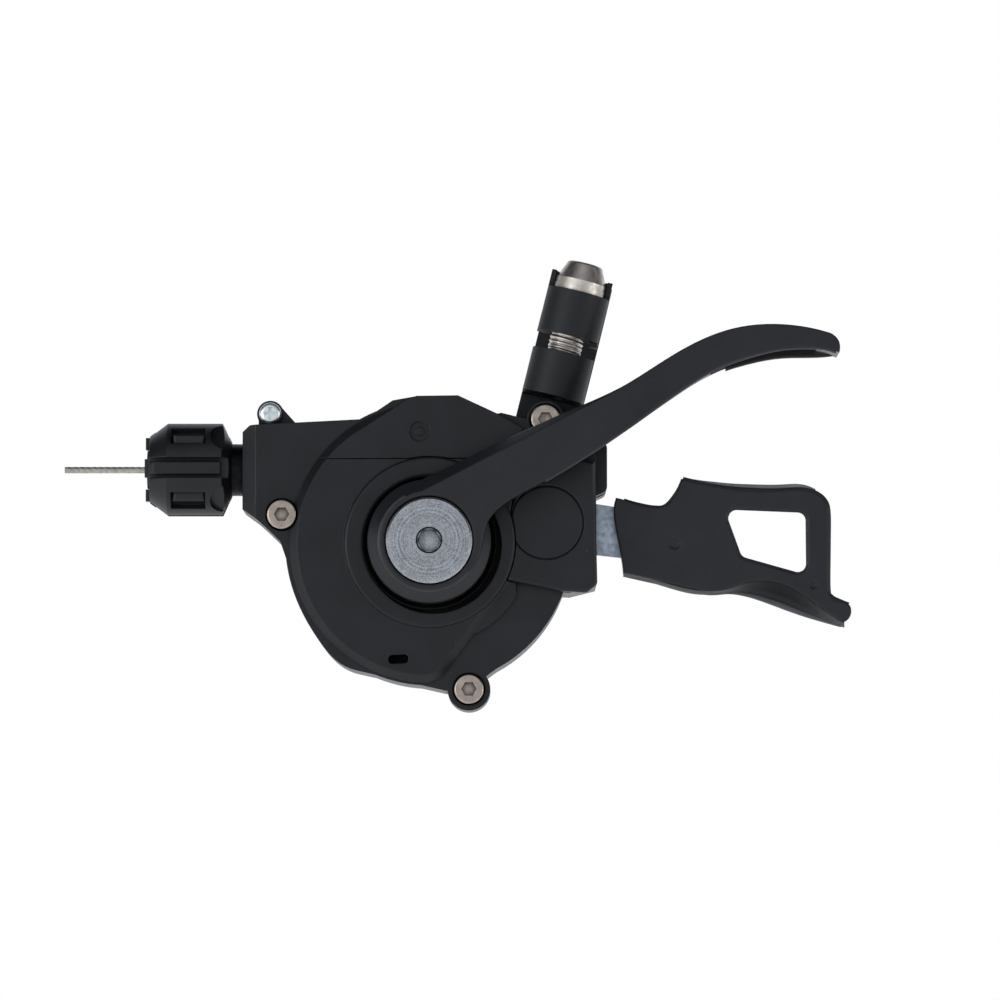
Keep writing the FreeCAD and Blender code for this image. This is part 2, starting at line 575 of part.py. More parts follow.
wheel = newBody("ratchet_wheel")
disc = circle(sketch(wheel, "winder_high"), "0", "0", "ratchet_radius")
circle(disc, "0", "0", "bush_radius + turn_gap")
pad(wheel, disc, "ratchet_thickness")
gap = "(360 / tooth_count)"
notch = polygon(sketch(wheel, ratchetTop), [
    ("0", "ratchet_radius - tooth_depth"), ("0", "ratchet_radius + 1"),
    ("(ratchet_radius + 1) * sin(0.82 * %s)" % gap, "(ratchet_radius + 1) * cos(0.82 * %s)" % gap),
    ("(ratchet_radius - 0.05) * sin(0.82 * %s)" % gap, "(ratchet_radius - 0.05) * cos(0.82 * %s)" % gap)])
cut = pocket(wheel, notch, "ratchet_thickness")
teeth = wheel.newObject("PartDesign::PolarPattern", "ratchet_wheel_teeth")
teeth.Originals = [cut]
teeth.Axis = ([o for o in wheel.Origin.OriginFeatures if o.Role == "Y_Axis"][0], [""])
teeth.Angle = 360.0
bind(teeth, "Occurrences", "tooth_count")
wheel.Tip = teeth
doc.recompute()

# Lever plate with the feed pawl, and the hold pawl on the tub's floor
plate = newBody("lever_plate")
feedSpot = ("-18.4", "3.4")
pad(plate, circle(sketch(plate, plateLow), "0", "0", "sleeve_radius + 2.2"), "plate_thickness")
pad(plate,
    polygon(sketch(plate, plateLow), [("-4", "-7.6"), ("-19.0", "1.0"), ("-19.6", "5.4"), ("-3", "8.4")]),
    "plate_thickness")
pad(plate, circle(sketch(plate, plateLow), *feedSpot, "2.6"), "plate_thickness")
pocket(plate, circle(sketch(plate, plateHigh), "0", "0", "bush_radius + turn_gap"), "plate_thickness + 1")
pocket(plate, circle(sketch(plate, plateHigh), *feedSpot, "pawl_pin_radius - 0.3"), "plate_thickness + 1")

feedPin = newBody("feed_pawl_pin")
pad(feedPin, circle(sketch(feedPin, "winder_high"), *feedSpot, "pawl_pin_radius - 0.3"),
    "ratchet_thickness + layer_gap + plate_thickness + 0.4")


def pawl(label, spot, radius, points, low, height):
    made = newBody(label)
    pad(made, circle(sketch(made, low), *spot, radius + " + 1.3"), height)
    pad(made, polygon(sketch(made, low), points), height)
    pocket(made, circle(sketch(made, low + " + " + height), *spot, radius + " + turn_gap"), height + " + 1")
    return made


tipRadius = "(ratchet_radius + pawl_gap)"
pawl("feed_pawl", feedSpot, "(pawl_pin_radius - 0.3)", [
    ("-20.4", "4.8"), ("-17.4", "9.6"), ("-%s * cos(40)" % tipRadius, "%s * sin(40)" % tipRadius),
    ("-%s * cos(33) - 0.6" % tipRadius, "%s * sin(33)" % tipRadius), ("-16.4", "3.6")],
     "winder_high + 0.1", "(ratchet_thickness - 0.1)")
pawl("hold_pawl", pawlSpot, "pawl_pin_radius", [
    ("-18.8", "-12.6"), ("-10.2", "-14.8"), ("-%s * cos(62)" % tipRadius, "-%s * sin(62)" % tipRadius),
    ("-%s * cos(54) - 0.5" % tipRadius, "-%s * sin(54) - 0.3" % tipRadius), ("-14.6", "-9.8")],
     "winder_high + 0.1", "(ratchet_thickness - 0.1)")
holdPin = newBody("hold_pawl_pin")
pad(holdPin, circle(sketch(holdPin, "-back_wall + 0.5"), *pawlSpot, "pawl_pin_radius"),
    ratchetTop + " + back_wall - 0.2")
pad(holdPin, circle(sketch(holdPin, "winder_high - 0.7"), *pawlSpot, "pawl_pin_radius + 0.9"), "0.75")

# Springs: a coil for the lever, a coil for the release lever, a flat spiral for the winder


def coil(label, frame, level, radius, wire, turns, pitch):
    made = newBody(label, frame)
    sk = sketch(made, "0", "YZ_Plane")
    circle(sk, "-(%s) - %s" % (level, wire), radius, wire)
    helix = made.newObject("PartDesign::AdditiveHelix", label + "_helix")
    helix.Profile = sk
    helix.ReferenceAxis = (sk, ["H_Axis"])
    helix.Mode = 1
    bind(helix, "Pitch", pitch)
    helix.Turns = turns
    helix.Reversed = True
    doc.recompute()
    return made


coil("lever_spring", "pivot", plateHigh, "sleeve_radius + 1.1", "wire_radius", 1.4, "wire_radius * 2 + 0.15")
coil("release_spring", "release", releaseHigh, "release_pin_radius + 1.2", "wire_radius", 3.5,
     "wire_radius * 2 + 0.2")

spiral = newBody("winder_spring")
strip = sketch(spiral, "1.2")
thick = num("strip_thickness")
inner = num("neck_radius")
halfTurns = 12
step = (num("spring_radius") - thick - inner) / halfTurns
for k in range(halfTurns):
    lean = 1 if k % 2 else -1
    radius = inner + step / 2 + step * k
    for wall in (0, thick):
        arc(strip, lean * step / 2, 0, radius + wall, 180 * (k % 2), 180 * (k % 2) + 180)
for end in (inner, inner + step * halfTurns):
    line(strip, (end, 0), (end + thick, 0))
pad(spiral, strip, "winder_low - 1.6")


# Release lever: steel plate, moulded pad, pivot pin
steel = [("release_across - 1.5", "release_above + 4.9"), ("31.3", "7.8"), ("35.6", "7.1"), ("46.0", "5.0"),
         ("46.0", "-4.0"), ("35.6", "-2.3"), ("31.3", "-1.8"),
         ("release_across - 1.5", "release_above - 4.9")]
arm = newBody("release_plate")
pad(arm, polygon(sketch(arm, "release_low"), steel), "release_thickness")
pad(arm, circle(sketch(arm, "release_low"), "release_across", "release_above", "release_pin_radius + 2.6"),
    "release_thickness")
pocket(arm, circle(sketch(arm, releaseHigh), "release_across", "release_above",
                   "release_pin_radius + turn_gap"),
       "release_thickness + 1")

pinBody = newBody("release_pin")
pad(pinBody, circle(sketch(pinBody, "release_low - 7"), "release_across", "release_above",
                    "release_pin_radius"),
    "tub_height + 1 - release_low + 7")

thumb = newBody("release_pad")
reach = num("release_reach") / 79.0


def spots(points):
    return [(34.0 + (x - 34.0) * reach, z) for x, z in points]


topSide = spots([(34.9, 8.8), (38.8, 7.7), (42.0, 7.1), (44.2, 7.4), (46.3, 9.9), (47.45, 12.3)])
crest = spots([(47.45, 12.3), (52.0, 11.25), (57.2, 10.45), (64.0, 10.1), (69.5, 10.35), (72.2, 9.8),
               (74.1, 8.3), (74.75, 6.0)])
wall = spots([(74.75, 6.0), (74.7, -8.2)])
toe = spots([(74.7, -8.2), (75.3, -9.8), (77.0, -10.7), (78.7, -11.4), (79.0, -12.4), (77.6, -14.5)])
crease = spots([(77.6, -14.5), (70.75, -9.9), (65.7, -7.2), (62.9, -6.75), (59.6, -7.05), (56.1, -8.2),
                (51.4, -8.6)])
sole = spots([(51.4, -8.6), (36.3, -5.25)])
left = spots([(36.3, -5.25), (35.8, -1.6), (34.75, 3.8), (34.5, 6.5), (34.9, 8.8)])
faceOut = sketch(thumb, "release_low - 1.6")
for curve in (topSide, crest, toe, crease, left):
    spline(faceOut, curve)
line(faceOut, wall[0], wall[1])
line(faceOut, sole[0], sole[1])
pad(thumb, faceOut, "release_front - release_low + 1.6")
thin = sketch(thumb, "release_low + 1.2")
box(thin, "49.5", "-30", "95", "30")
pocket(thumb, thin, "8")


def lipBand(level, sweep):
    band = sketch(thumb, level)
    over = [(x, z + 1.5) for x, z in sweep]
    spline(band, sweep)
    line(band, sweep[-1], over[-1])
    spline(band, over[::-1])
    line(band, over[0], sweep[0])
    return band


lip = thumb.newObject("PartDesign::AdditiveLoft", "release_pad_lip")
sweepFront = spots([(77.7, -14.7), (70.75, -10.0), (65.7, -7.3), (62.9, -6.85), (59.6, -7.15),
                    (56.1, -8.3), (51.4, -8.7), (43.0, -6.85), (36.4, -5.35)])
sweepBack = spots([(78.2, -15.2), (71.0, -12.9), (66.0, -11.0), (62.5, -9.8), (59.6, -9.0),
                   (56.5, -8.7), (51.6, -9.0), (43.0, -7.1), (36.4, -5.6)])
lip.Profile = lipBand("release_front - 1.2", sweepFront)
lip.Sections = [lipBand("release_back", sweepBack)]
lip.Ruled = True
doc.recompute()
ridge = sketch(thumb, "release_back")
ridgeHigh = [(x + 0.4, z - 0.3) for x, z in crest[:5]]
ridgeLow = [(x + 0.4, z - 2.0) for x, z in crest[:5]]
spline(ridge, ridgeHigh)
line(ridge, ridgeHigh[-1], ridgeLow[-1])
spline(ridge, ridgeLow[::-1])
line(ridge, ridgeLow[0], ridgeHigh[0])
pad(thumb, ridge, "release_front - release_back")
window = sketch(thumb, "release_front + 1")
opening = spots([(54.75, 7.0), (70.85, 6.35), (70.95, -6.15), (58.2, -2.55)])
chain(window, opening + opening[:1])
pocket(thumb, window, "release_front + 1 - release_low + 4")
dress(thumb, "Fillet", "1.9", lambda e: any(uprightAt(e, x, z, 0.1) for x, z in opening))
inset = polygon(sketch(thumb, releaseHigh), steel[1:7])
pocket(thumb, inset, "release_thickness")
for x, z, radius in (("45.9", "0.15", "1.0"), ("71.9", "-7.6", "0.7")):
    pocket(thumb, circle(sketch(thumb, "release_front"), x, z, radius), "0.3")


# Adjuster: stem in the block, fluted knob turning on it, liner in the knob's nose
stem = newBody("adjuster_stem", "adjuster")
polygon(sketch(stem, "0", "XZ_Plane"), [
    ("-block_left + 6.8", "cable_radius + 0.2"), ("-block_left + 6.8", "stem_radius"),
    ("-knob_right - 0.3", "stem_radius"), ("-knob_right - 1.2", "thread_radius"),
    ("-knob_left + liner_length + 1.4", "thread_radius"),
    ("-knob_left + liner_length + 1.4", "cable_radius + 0.2")])
revolve(stem, stem.Group[0])

knob = newBody("adjuster_knob", "adjuster")
polygon(sketch(knob, "0", "XZ_Plane"), [
    ("-knob_left", "liner_radius + turn_gap"), ("-knob_left", "knob_radius - 2.5"),
    ("-knob_left + 3.4", "knob_radius"),
    ("-knob_right - 1.7", "knob_radius"), ("-knob_right", "stem_radius + 0.3"),
    ("-knob_right", "stem_radius + turn_gap"), ("-knob_right - 3.1", "stem_radius + turn_gap"),
    ("-knob_right - 3.1", "thread_radius + turn_gap"),
    ("-knob_left + liner_length", "thread_radius + turn_gap"),
    ("-knob_left + liner_length", "liner_radius + turn_gap")])
revolve(knob, knob.Group[0])
doc.recompute()
above = "(knob_radius + 1)"
halfFlute = "flute_width / 2"
halfRib = "rib_width / 2"
ribEnd = "-knob_right - 2.0"
flute = pocket(knob, box(sketch(knob, above), "-knob_left - 1", "-" + halfFlute, "-knob_right + 1",
                         halfFlute),
               above + " - knob_core")
sides = polygon(sketch(knob, above), [
    ("-knob_left - 1", halfFlute), ("-knob_right + 1", halfFlute), ("-knob_right + 1", "-" + halfFlute),
    ("-knob_left - 1", "-" + halfFlute), ("-knob_left - 1", "-" + halfRib), (ribEnd, "-" + halfRib),
    (ribEnd, halfRib), ("-knob_left - 1", halfRib)])
beside = pocket(knob, sides, above + " - knob_core + 0.9")
roundX(knob, [flute, beside], 4)
lobe = box(turned(sketch(knob, "0"), Vector(1, 0, 0), 45, above), "-knob_left + 4.1", "-2.1",
           "-knob_right - 4.8", "2.1")
dent = pocket(knob, lobe, above + " - knob_radius + 1.5")
bite = circle(turned(sketch(knob, "0"), Vector(1, 0, 0), 45, above), "-knob_right - 0.6", "0", "3.3")
scoop = pocket(knob, bite, above + " - knob_radius + 1.0")
roundX(knob, [dent, scoop], 4)
nose = sketch(knob, "-knob_left - knob_nose", "YZ_Plane")
near = "(liner_radius + turn_gap + 0.1)"
far = "(knob_radius - 2.9)"
noseHalf = "1.7"
for edges in ((near, far), ("-" + far, "-" + near)):
    box(nose, edges[0], "-" + noseHalf, edges[1], noseHalf)
    box(nose, "-" + noseHalf, edges[0], noseHalf, edges[1])
pad(knob, nose, "knob_nose + 0.4")
doc.recompute()

liner = newBody("adjuster_liner", "adjuster")
polygon(sketch(liner, "0", "XZ_Plane"), [
    ("-knob_left - 0.5", "socket_radius"), ("-knob_left - 0.5", "liner_radius"),
    ("-knob_left + liner_length", "liner_radius"), ("-knob_left + liner_length", "cable_radius + 0.2"),
    ("-knob_left - 0.5 + socket_depth", "cable_radius + 0.2"),
    ("-knob_left - 0.5 + socket_depth", "socket_radius")])
revolve(liner, liner.Group[0])


# Inner cable: straight run, then round the winder to its head
cable = newBody("inner_cable")
path = sketch(cable, "cable_level")
height = num("adjuster_height")
turnBy = math.radians(float(headTurn))
line(path, (-num("cable_reach"), height), (0, height))
arc(path, 0, 0, height, 90 - math.degrees(turnBy) + 12, 90)
roundSketch = sketch(cable, "-cable_reach", "YZ_Plane")
circle(roundSketch, "-cable_level", "adjuster_height", "cable_radius")
run = cable.newObject("PartDesign::AdditivePipe", "inner_cable_pipe")
run.Profile = roundSketch
run.Spine = (path, ["Edge1", "Edge2"])
doc.recompute()

tipHead = newBody("cable_head")
pad(tipHead, circle(sketch(tipHead, "cable_level - 2.4"), *headSpot, "2.3"), "4.6")

# Clamp band with ears, prongs round the bolt's head, foot and gap
band = newBody("clamp_band", "clamp")
half = "(band_width / 2)"
outer = "(bar_diameter / 2 + band_thickness)"
boltSpot = ("0", "-bolt_offset")


def across(level):
    return sketch(band, level, "YZ_Plane")


def over(body, level):
    return sketch(body, level, "XY_Plane")


pad(band, circle(across("-" + half), "0", "0", outer), "band_width")
pad(band, box(across("-" + half), "-foot_depth / 2", "-seat_distance", "foot_depth / 2", "-6"), "band_width")
pad(band, box(across("-ear_radius"), "-bolt_offset", "-ear_reach", "-4", "ear_reach"), "ear_radius * 2")
pad(band, circle(over(band, "-ear_reach"), *boltSpot, "ear_radius"), "ear_reach * 2")
collar = circle(over(band, "ear_reach"), *boltSpot, "ear_radius")
circle(collar, *boltSpot, "bolt_head_radius + 0.2")
pad(band, collar, "prong_height")
collarTop = "ear_reach + prong_height"
pocket(band, box(over(band, collarTop), "-20", "-40", "20", "-bolt_offset - 0.6"), "prong_height")
pocket(band, circle(across(half), "0", "0", "bar_diameter / 2"), "band_width")
pocket(band, box(across(half + " + 1"), "-40", "-gap_width / 2", "-5", "gap_width / 2"), "band_width + 2")
pad(band, box(over(band, "gap_width / 2 - 0.9"), "ear_radius - 1.5", "-bolt_offset - 1.0",
              "ear_radius - 0.1", "-bolt_offset + 3.0"),
    "1.1")
pocket(band, circle(over(band, "ear_reach"), *boltSpot, "bolt_diameter / 2 + bolt_clearance"),
       "ear_reach * 2")
pocket(band, circle(over(band, "-ear_reach + nut_length"), *boltSpot, "nut_radius"), "nut_length")
screwTop = "-bar_diameter / 2 + 3"
pocket(band, circle(over(band, screwTop), "0", "0", "band_screw_radius + 0.2"), "9")
pocket(band, circle(over(band, screwTop), "0", "0", "band_screw_head + 0.2"), "3 + 2.4")
doc.recompute()

screwBody = newBody("band_screw", "clamp")
pad(screwBody, circle(over(screwBody, "-bar_diameter / 2 - 2.4"), "0", "0", "band_screw_head"), "2.0")
pad(screwBody, circle(over(screwBody, "-bar_diameter / 2 - 0.4 - band_screw_length"), "0", "0",
                      "band_screw_radius"),
    "band_screw_length - 1")
pocket(screwBody, hexagon(over(screwBody, "-bar_diameter / 2 - 0.4"), "0", "0", "2.5"), "1.2")

clampBolt = newBody("clamp_bolt", "clamp")
headTop = boltSeat + " + bolt_head_height"
skirt = "bolt_head_height * 0.25"
pad(clampBolt, circle(over(clampBolt, boltSeat), *boltSpot, "bolt_head_radius"), skirt)
pad(clampBolt, circle(over(clampBolt, boltSeat + " + " + skirt), *boltSpot, "bolt_head_radius"),
    "bolt_head_height * 0.75", TaperAngle=-24.0)
dress(clampBolt, "Fillet", "0.7", lambda e: abs(e.CenterOfMass.z - num(headTop)) < 1e-4)
pad(clampBolt, circle(over(clampBolt, boltSeat + " - bolt_length"), *boltSpot, "bolt_diameter / 2"),
    "bolt_length")
pocket(clampBolt, hexagon(over(clampBolt, headTop), *boltSpot, "3.0"), "2.2")

washerBody = newBody("clamp_washer", "clamp")
flat = circle(over(washerBody, "ear_reach"), *boltSpot, "bolt_head_radius + 0.1")
circle(flat, *boltSpot, "bolt_diameter / 2 + bolt_clearance / 2")
pad(washerBody, flat, "washer_thickness")

nutBody = newBody("clamp_nut", "clamp")
flat = circle(over(nutBody, "-ear_reach"), *boltSpot, "nut_radius")
circle(flat, *boltSpot, "bolt_diameter / 2")
pad(nutBody, flat, "nut_length")


# Screws: three socket heads for the case, a cross head on the lug


def capScrew(label, spot, length):
    made = newBody(label)
    x, z = spot
    sit = coverFace + " - screw_sink"
    pad(made, circle(sketch(made, sit), x, z, "screw_head_radius"), "screw_head_height")
    dress(made, "Fillet", "0.35", lambda e: flatAt(e, sit + " + screw_head_height"))
    pad(made, circle(sketch(made, sit + " - " + length), x, z, "screw_radius"), length)
    pocket(made, hexagon(sketch(made, sit + " + screw_head_height"), x, z, "screw_hex"), "1.6")
    return made


overFoot = "(tub_height + cover_thickness - screw_sink - foot_depth / 2 - 1.6)"
for label, spot, length in zip(("case_screw_left", "case_screw_low", "case_screw_top"), screwSpots,
                               ("screw_length", "screw_length", overFoot)):
    capScrew(label, spot, length)

lugScrew = newBody("lug_screw")
lugTop = "tub_height - 1"
pad(lugScrew, circle(sketch(lugScrew, lugTop), "-lug_screw_across", "lug_screw_above", "lug_screw_head"),
    "1.6")
dress(lugScrew, "Fillet", "0.9", lambda e: flatAt(e, lugTop + " + 1.6"))
pad(lugScrew, circle(sketch(lugScrew, lugTop + " - 3.2"), "-lug_screw_across", "lug_screw_above", "1.1"),
    "3.2")
for wide, tall in (("0.3", "1.2"), ("1.2", "0.3")):
    cross = box(sketch(lugScrew, lugTop + " + 1.6"), "-lug_screw_across - " + wide,
                "lug_screw_above - " + tall,
                "-lug_screw_across + " + wide, "lug_screw_above + " + tall)
    pocket(lugScrew, cross, "1.0")

doc.recompute()

# Checks, then one file for each sub-part
os.makedirs("parts", exist_ok=True)
for thing in doc.Objects:
    if "Invalid" in thing.State or "Error" in thing.State:
        raise RuntimeError("%s: %s" % (thing.Label, thing.State))
for body in [o for o in doc.Objects if o.TypeId == "PartDesign::Body"]:
    shape = body.Shape
    if shape.isNull() or not shape.isValid() or len(shape.Solids) != 1:
        raise RuntimeError("%s: shape is not one valid solid" % body.Label)
    shape.exportStep("parts/%s.step" % body.Label)
    print("%-18s %9.1f mm3" % (body.Label, shape.Volume))
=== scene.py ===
import bpy
import bmesh
import json
import math
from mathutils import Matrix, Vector


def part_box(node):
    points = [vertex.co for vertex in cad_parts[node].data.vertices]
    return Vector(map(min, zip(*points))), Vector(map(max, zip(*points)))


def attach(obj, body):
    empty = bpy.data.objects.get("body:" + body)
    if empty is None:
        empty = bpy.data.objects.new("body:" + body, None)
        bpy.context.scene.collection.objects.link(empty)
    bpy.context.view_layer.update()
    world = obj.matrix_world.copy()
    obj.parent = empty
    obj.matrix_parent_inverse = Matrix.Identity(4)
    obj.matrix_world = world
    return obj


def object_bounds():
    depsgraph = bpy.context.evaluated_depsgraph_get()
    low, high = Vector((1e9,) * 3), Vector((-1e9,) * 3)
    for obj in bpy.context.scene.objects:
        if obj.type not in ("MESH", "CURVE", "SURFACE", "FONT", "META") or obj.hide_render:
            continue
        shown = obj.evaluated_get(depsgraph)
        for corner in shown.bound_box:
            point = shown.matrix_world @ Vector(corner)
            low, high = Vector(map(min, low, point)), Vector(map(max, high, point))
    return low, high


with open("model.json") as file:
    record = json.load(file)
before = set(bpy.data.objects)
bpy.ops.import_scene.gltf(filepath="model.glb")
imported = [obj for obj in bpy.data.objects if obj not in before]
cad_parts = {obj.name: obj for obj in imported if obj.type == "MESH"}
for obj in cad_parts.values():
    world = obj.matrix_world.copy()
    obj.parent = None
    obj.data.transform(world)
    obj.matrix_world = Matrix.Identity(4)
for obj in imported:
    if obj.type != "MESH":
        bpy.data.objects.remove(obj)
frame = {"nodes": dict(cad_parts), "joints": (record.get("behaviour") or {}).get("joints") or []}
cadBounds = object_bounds()
nodes = frame["nodes"]
mm = 0.001
print("frame loaded:", len(nodes), "nodes")

# places that several pieces use, read from the frame's joints and boxes
joints = {joint["name"]: joint for joint in frame["joints"]}
pivotAt = Vector(joints["lever_push"]["pos_m"])
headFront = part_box("pivot_bolt")[0].y
padLow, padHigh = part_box("release_pad")
padFront = padLow.y
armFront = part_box("main_lever")[0].y


# camera at the photograph's viewing angle: slightly below the pivot's axis
cameraSetup = {
    "imagePixels": 1000.0,
    "headPixel": (429.0, 540.0),  # where the pivot's head sits in the image
    "pixelsPerMm": 5.4,
    "distance": 1.300,
    "azimuth": 0.0,
    "elevation": -3.3,
    "sensor": 36.0,
}


def placeCamera(setup):
    az = math.radians(setup["azimuth"])
    el = math.radians(setup["elevation"])
    back = Vector((math.sin(az) * math.cos(el), -math.cos(az) * math.cos(el), math.sin(el)))
    right = Vector((math.cos(az), math.sin(az), 0.0))
    up = back.cross(right)
    target = Vector((pivotAt.x, headFront, pivotAt.z))
    perPixel = mm / setup["pixelsPerMm"]
    middle = setup["imagePixels"] / 2
    across = (middle - setup["headPixel"][0]) * perPixel
    above = (setup["headPixel"][1] - middle) * perPixel
    data = bpy.data.cameras.new("photoCamera")
    data.sensor_width = setup["sensor"]
    data.lens = setup["sensor"] * setup["distance"] / (setup["imagePixels"] * perPixel)
    data.clip_start = 0.01
    camera = bpy.data.objects.new("photoCamera", data)
    camera.location = target + right * across + up * above + back * setup["distance"]
    camera.rotation_mode = "QUATERNION"
    camera.rotation_quaternion = back.to_track_quat("Z", "Y")
    bpy.context.scene.collection.objects.link(camera)
    bpy.context.scene.camera = camera


placeCamera(cameraSetup)
print("camera placed")


# node helpers
def addNode(tree, kind, settings=None, **inputs):
    node = tree.nodes.new(kind)
    for key, value in (settings or {}).items():
        setattr(node, key, value)
    for key, value in inputs.items():
        socket = node.inputs[key]
        if isinstance(value, bpy.types.NodeSocket):
            tree.links.new(value, socket)
        else:
            socket.default_value = value
    return node


def mathNode(tree, operation, first, second=None, third=None, clamp=False):
    node = tree.nodes.new("ShaderNodeMath")
    node.operation = operation
    node.use_clamp = clamp
    for index, value in enumerate((first, second, third)):
        if value is None:
            continue
        if isinstance(value, bpy.types.NodeSocket):
            tree.links.new(value, node.inputs[index])
        else:
            node.inputs[index].default_value = value
    return node.outputs[0]


def newGroup(name, inputs, outputs):
    tree = bpy.data.node_groups.new(name, "ShaderNodeTree")
    for label, default in inputs:
        socket = tree.interface.new_socket(label, in_out="INPUT", socket_type="NodeSocketFloat")
        socket.default_value = default
    for label in outputs:
        tree.interface.new_socket(label, in_out="OUTPUT", socket_type="NodeSocketFloat")
    return tree, tree.nodes.new("NodeGroupInput"), tree.nodes.new("NodeGroupOutput")


def remap(tree, value, low, high, start=0.0, end=1.0):
    node = addNode(tree, "ShaderNodeMapRange", {"interpolation_type": "SMOOTHSTEP"})
    tree.links.new(value, node.inputs["Value"])
    for key, number in (("From Min", low), ("From Max", high), ("To Min", start), ("To Max", end)):
        if isinstance(number, bpy.types.NodeSocket):
            tree.links.new(number, node.inputs[key])
        else:
            node.inputs[key].default_value = number
    return node.outputs["Result"]


def objectPoint(tree):
    return tree.nodes.new("ShaderNodeTexCoord").outputs["Object"]


# moulded grain: fine bumps from the mould's eroded face, and a slow cloudiness
def makeGrain():
    tree, given, out = newGroup("mouldGrain", [("Fine Per Metre", 5200.0), ("Cloud Per Metre", 160.0)],
                                ["Height", "Cloud", "Fine"])
    point = objectPoint(tree)
    fine = addNode(tree, "ShaderNodeTexNoise", None, Vector=point, Scale=given.outputs[0], Detail=2.0)
    wider = mathNode(tree, "MULTIPLY", given.outputs[0], 0.3)
    coarse = addNode(tree, "ShaderNodeTexNoise", None, Vector=point, Scale=wider, Detail=1.0)
    cloud = addNode(tree, "ShaderNodeTexNoise", None, Vector=point, Scale=given.outputs[1], Detail=4.0)
    height = mathNode(tree, "MULTIPLY_ADD", coarse.outputs[0], 0.6, fine.outputs[0])
    tree.links.new(height, out.inputs["Height"])
    tree.links.new(remap(tree, cloud.outputs[0], 0.3, 0.7), out.inputs["Cloud"])
    tree.links.new(remap(tree, fine.outputs[0], 0.35, 0.65), out.inputs["Fine"])
    return tree


# dust: sparse small specks
def makeDust():
    tree, given, out = newGroup("dustSpecks", [("Cells Per Metre", 520.0), ("Share", 0.1), ("Size", 0.07)],
                                ["Mask"])
    point = objectPoint(tree)
    cells = addNode(tree, "ShaderNodeTexVoronoi", None, Vector=point, Scale=given.outputs[0], Randomness=1.0)
    pick = addNode(tree, "ShaderNodeSeparateColor", None, Color=cells.outputs["Color"])
    chosen = mathNode(tree, "LESS_THAN", pick.outputs[0], given.outputs[1])
    size = mathNode(tree, "MULTIPLY", given.outputs[2], pick.outputs[1])
    near = mathNode(tree, "LESS_THAN", cells.outputs["Distance"], size)
    tree.links.new(mathNode(tree, "MULTIPLY", chosen, near), out.inputs["Mask"])
    return tree


# edge wear and painted highlight: where the surface turns within a short distance, broken up by noise
def makeEdgeWearAndHighlight():
    inputs = [("Radius", 0.0003), ("Amount", 0.5), ("Breaks Per Metre", 900.0)]
    tree, given, out = newGroup("edgeWearAndHighlight", inputs, ["Mask"])
    soft = addNode(tree, "ShaderNodeBevel", {"samples": 6}, Radius=given.outputs[0])
    true = tree.nodes.new("ShaderNodeNewGeometry")
    dot = addNode(tree, "ShaderNodeVectorMath", {"operation": "DOT_PRODUCT"})
    tree.links.new(soft.outputs[0], dot.inputs[0])
    tree.links.new(true.outputs["Normal"], dot.inputs[1])
    bend = mathNode(tree, "SUBTRACT", 1.0, dot.outputs["Value"], clamp=True)
    breaks = addNode(tree, "ShaderNodeTexNoise", None, Vector=objectPoint(tree), Scale=given.outputs[2],
                     Detail=3.0)
    edge = remap(tree, bend, 0.01, 0.16)
    wornAndLit = mathNode(tree, "MULTIPLY", edge, remap(tree, breaks.outputs[0], 0.38, 0.62))
    tree.links.new(mathNode(tree, "MULTIPLY", wornAndLit, given.outputs[1], clamp=True), out.inputs["Mask"])
    return tree


# recesses: how closed in the surface is, for painted shade in corners and sockets
def makeRecess():
    tree, given, out = newGroup("recessShade", [("Reach", 0.002), ("Open", 0.75), ("Closed", 0.2)], ["Open"])
    shade = addNode(tree, "ShaderNodeAmbientOcclusion", {"samples": 8}, Distance=given.outputs[0])
    tree.links.new(remap(tree, shade.outputs["AO"], given.outputs[2], given.outputs[1]), out.inputs["Open"])
    return tree


# turning marks: rings about an axis along Y, uneven from one to the next
def makeTurning():
    inputs = [("Centre X", 0.0), ("Centre Z", 0.0), ("Rings Per Metre", 2600.0)]
    tree, given, out = newGroup("turningMarks", inputs, ["Height", "Tone"])
    parts = addNode(tree, "ShaderNodeSeparateXYZ", None, Vector=objectPoint(tree))
    dx = mathNode(tree, "SUBTRACT", parts.outputs[0], given.outputs[0])
    dz = mathNode(tree, "SUBTRACT", parts.outputs[2], given.outputs[1])
    radius = mathNode(tree, "SQRT", mathNode(tree, "ADD", mathNode(tree, "MULTIPLY", dx, dx),
                                             mathNode(tree, "MULTIPLY", dz, dz)))
    scaled = mathNode(tree, "MULTIPLY", radius, given.outputs[2])
    rings = addNode(tree, "ShaderNodeTexNoise", {"noise_dimensions": "1D"}, W=scaled, Scale=1.0, Detail=4.0)
    tree.links.new(rings.outputs[0], out.inputs["Height"])
    tree.links.new(remap(tree, rings.outputs[0], 0.3, 0.7), out.inputs["Tone"])
    return tree


grainGroup = makeGrain()
dustGroup = makeDust()
wearAndHighlightGroup = makeEdgeWearAndHighlight()
turningGroup = makeTurning()
recessGroup = makeRecess()
print("shader groups made")


def groupNode(tree, group, **inputs):
    node = tree.nodes.new("ShaderNodeGroup")
    node.node_tree = group
    for key, value in inputs.items():
        node.inputs[key].default_value = value
    return node


def mixColour(tree, factor, first, second):
    node = tree.nodes.new("ShaderNodeMix")
    node.data_type = "RGBA"
    colours = [socket for socket in node.inputs if socket.type == "RGBA"]
    for socket, value in zip(colours, (first, second)):
        if isinstance(value, bpy.types.NodeSocket):
            tree.links.new(value, socket)
        else:
            socket.default_value = (*value, 1.0)
    tree.links.new(factor, node.inputs[0])
    return [socket for socket in node.outputs if socket.type == "RGBA"][0]


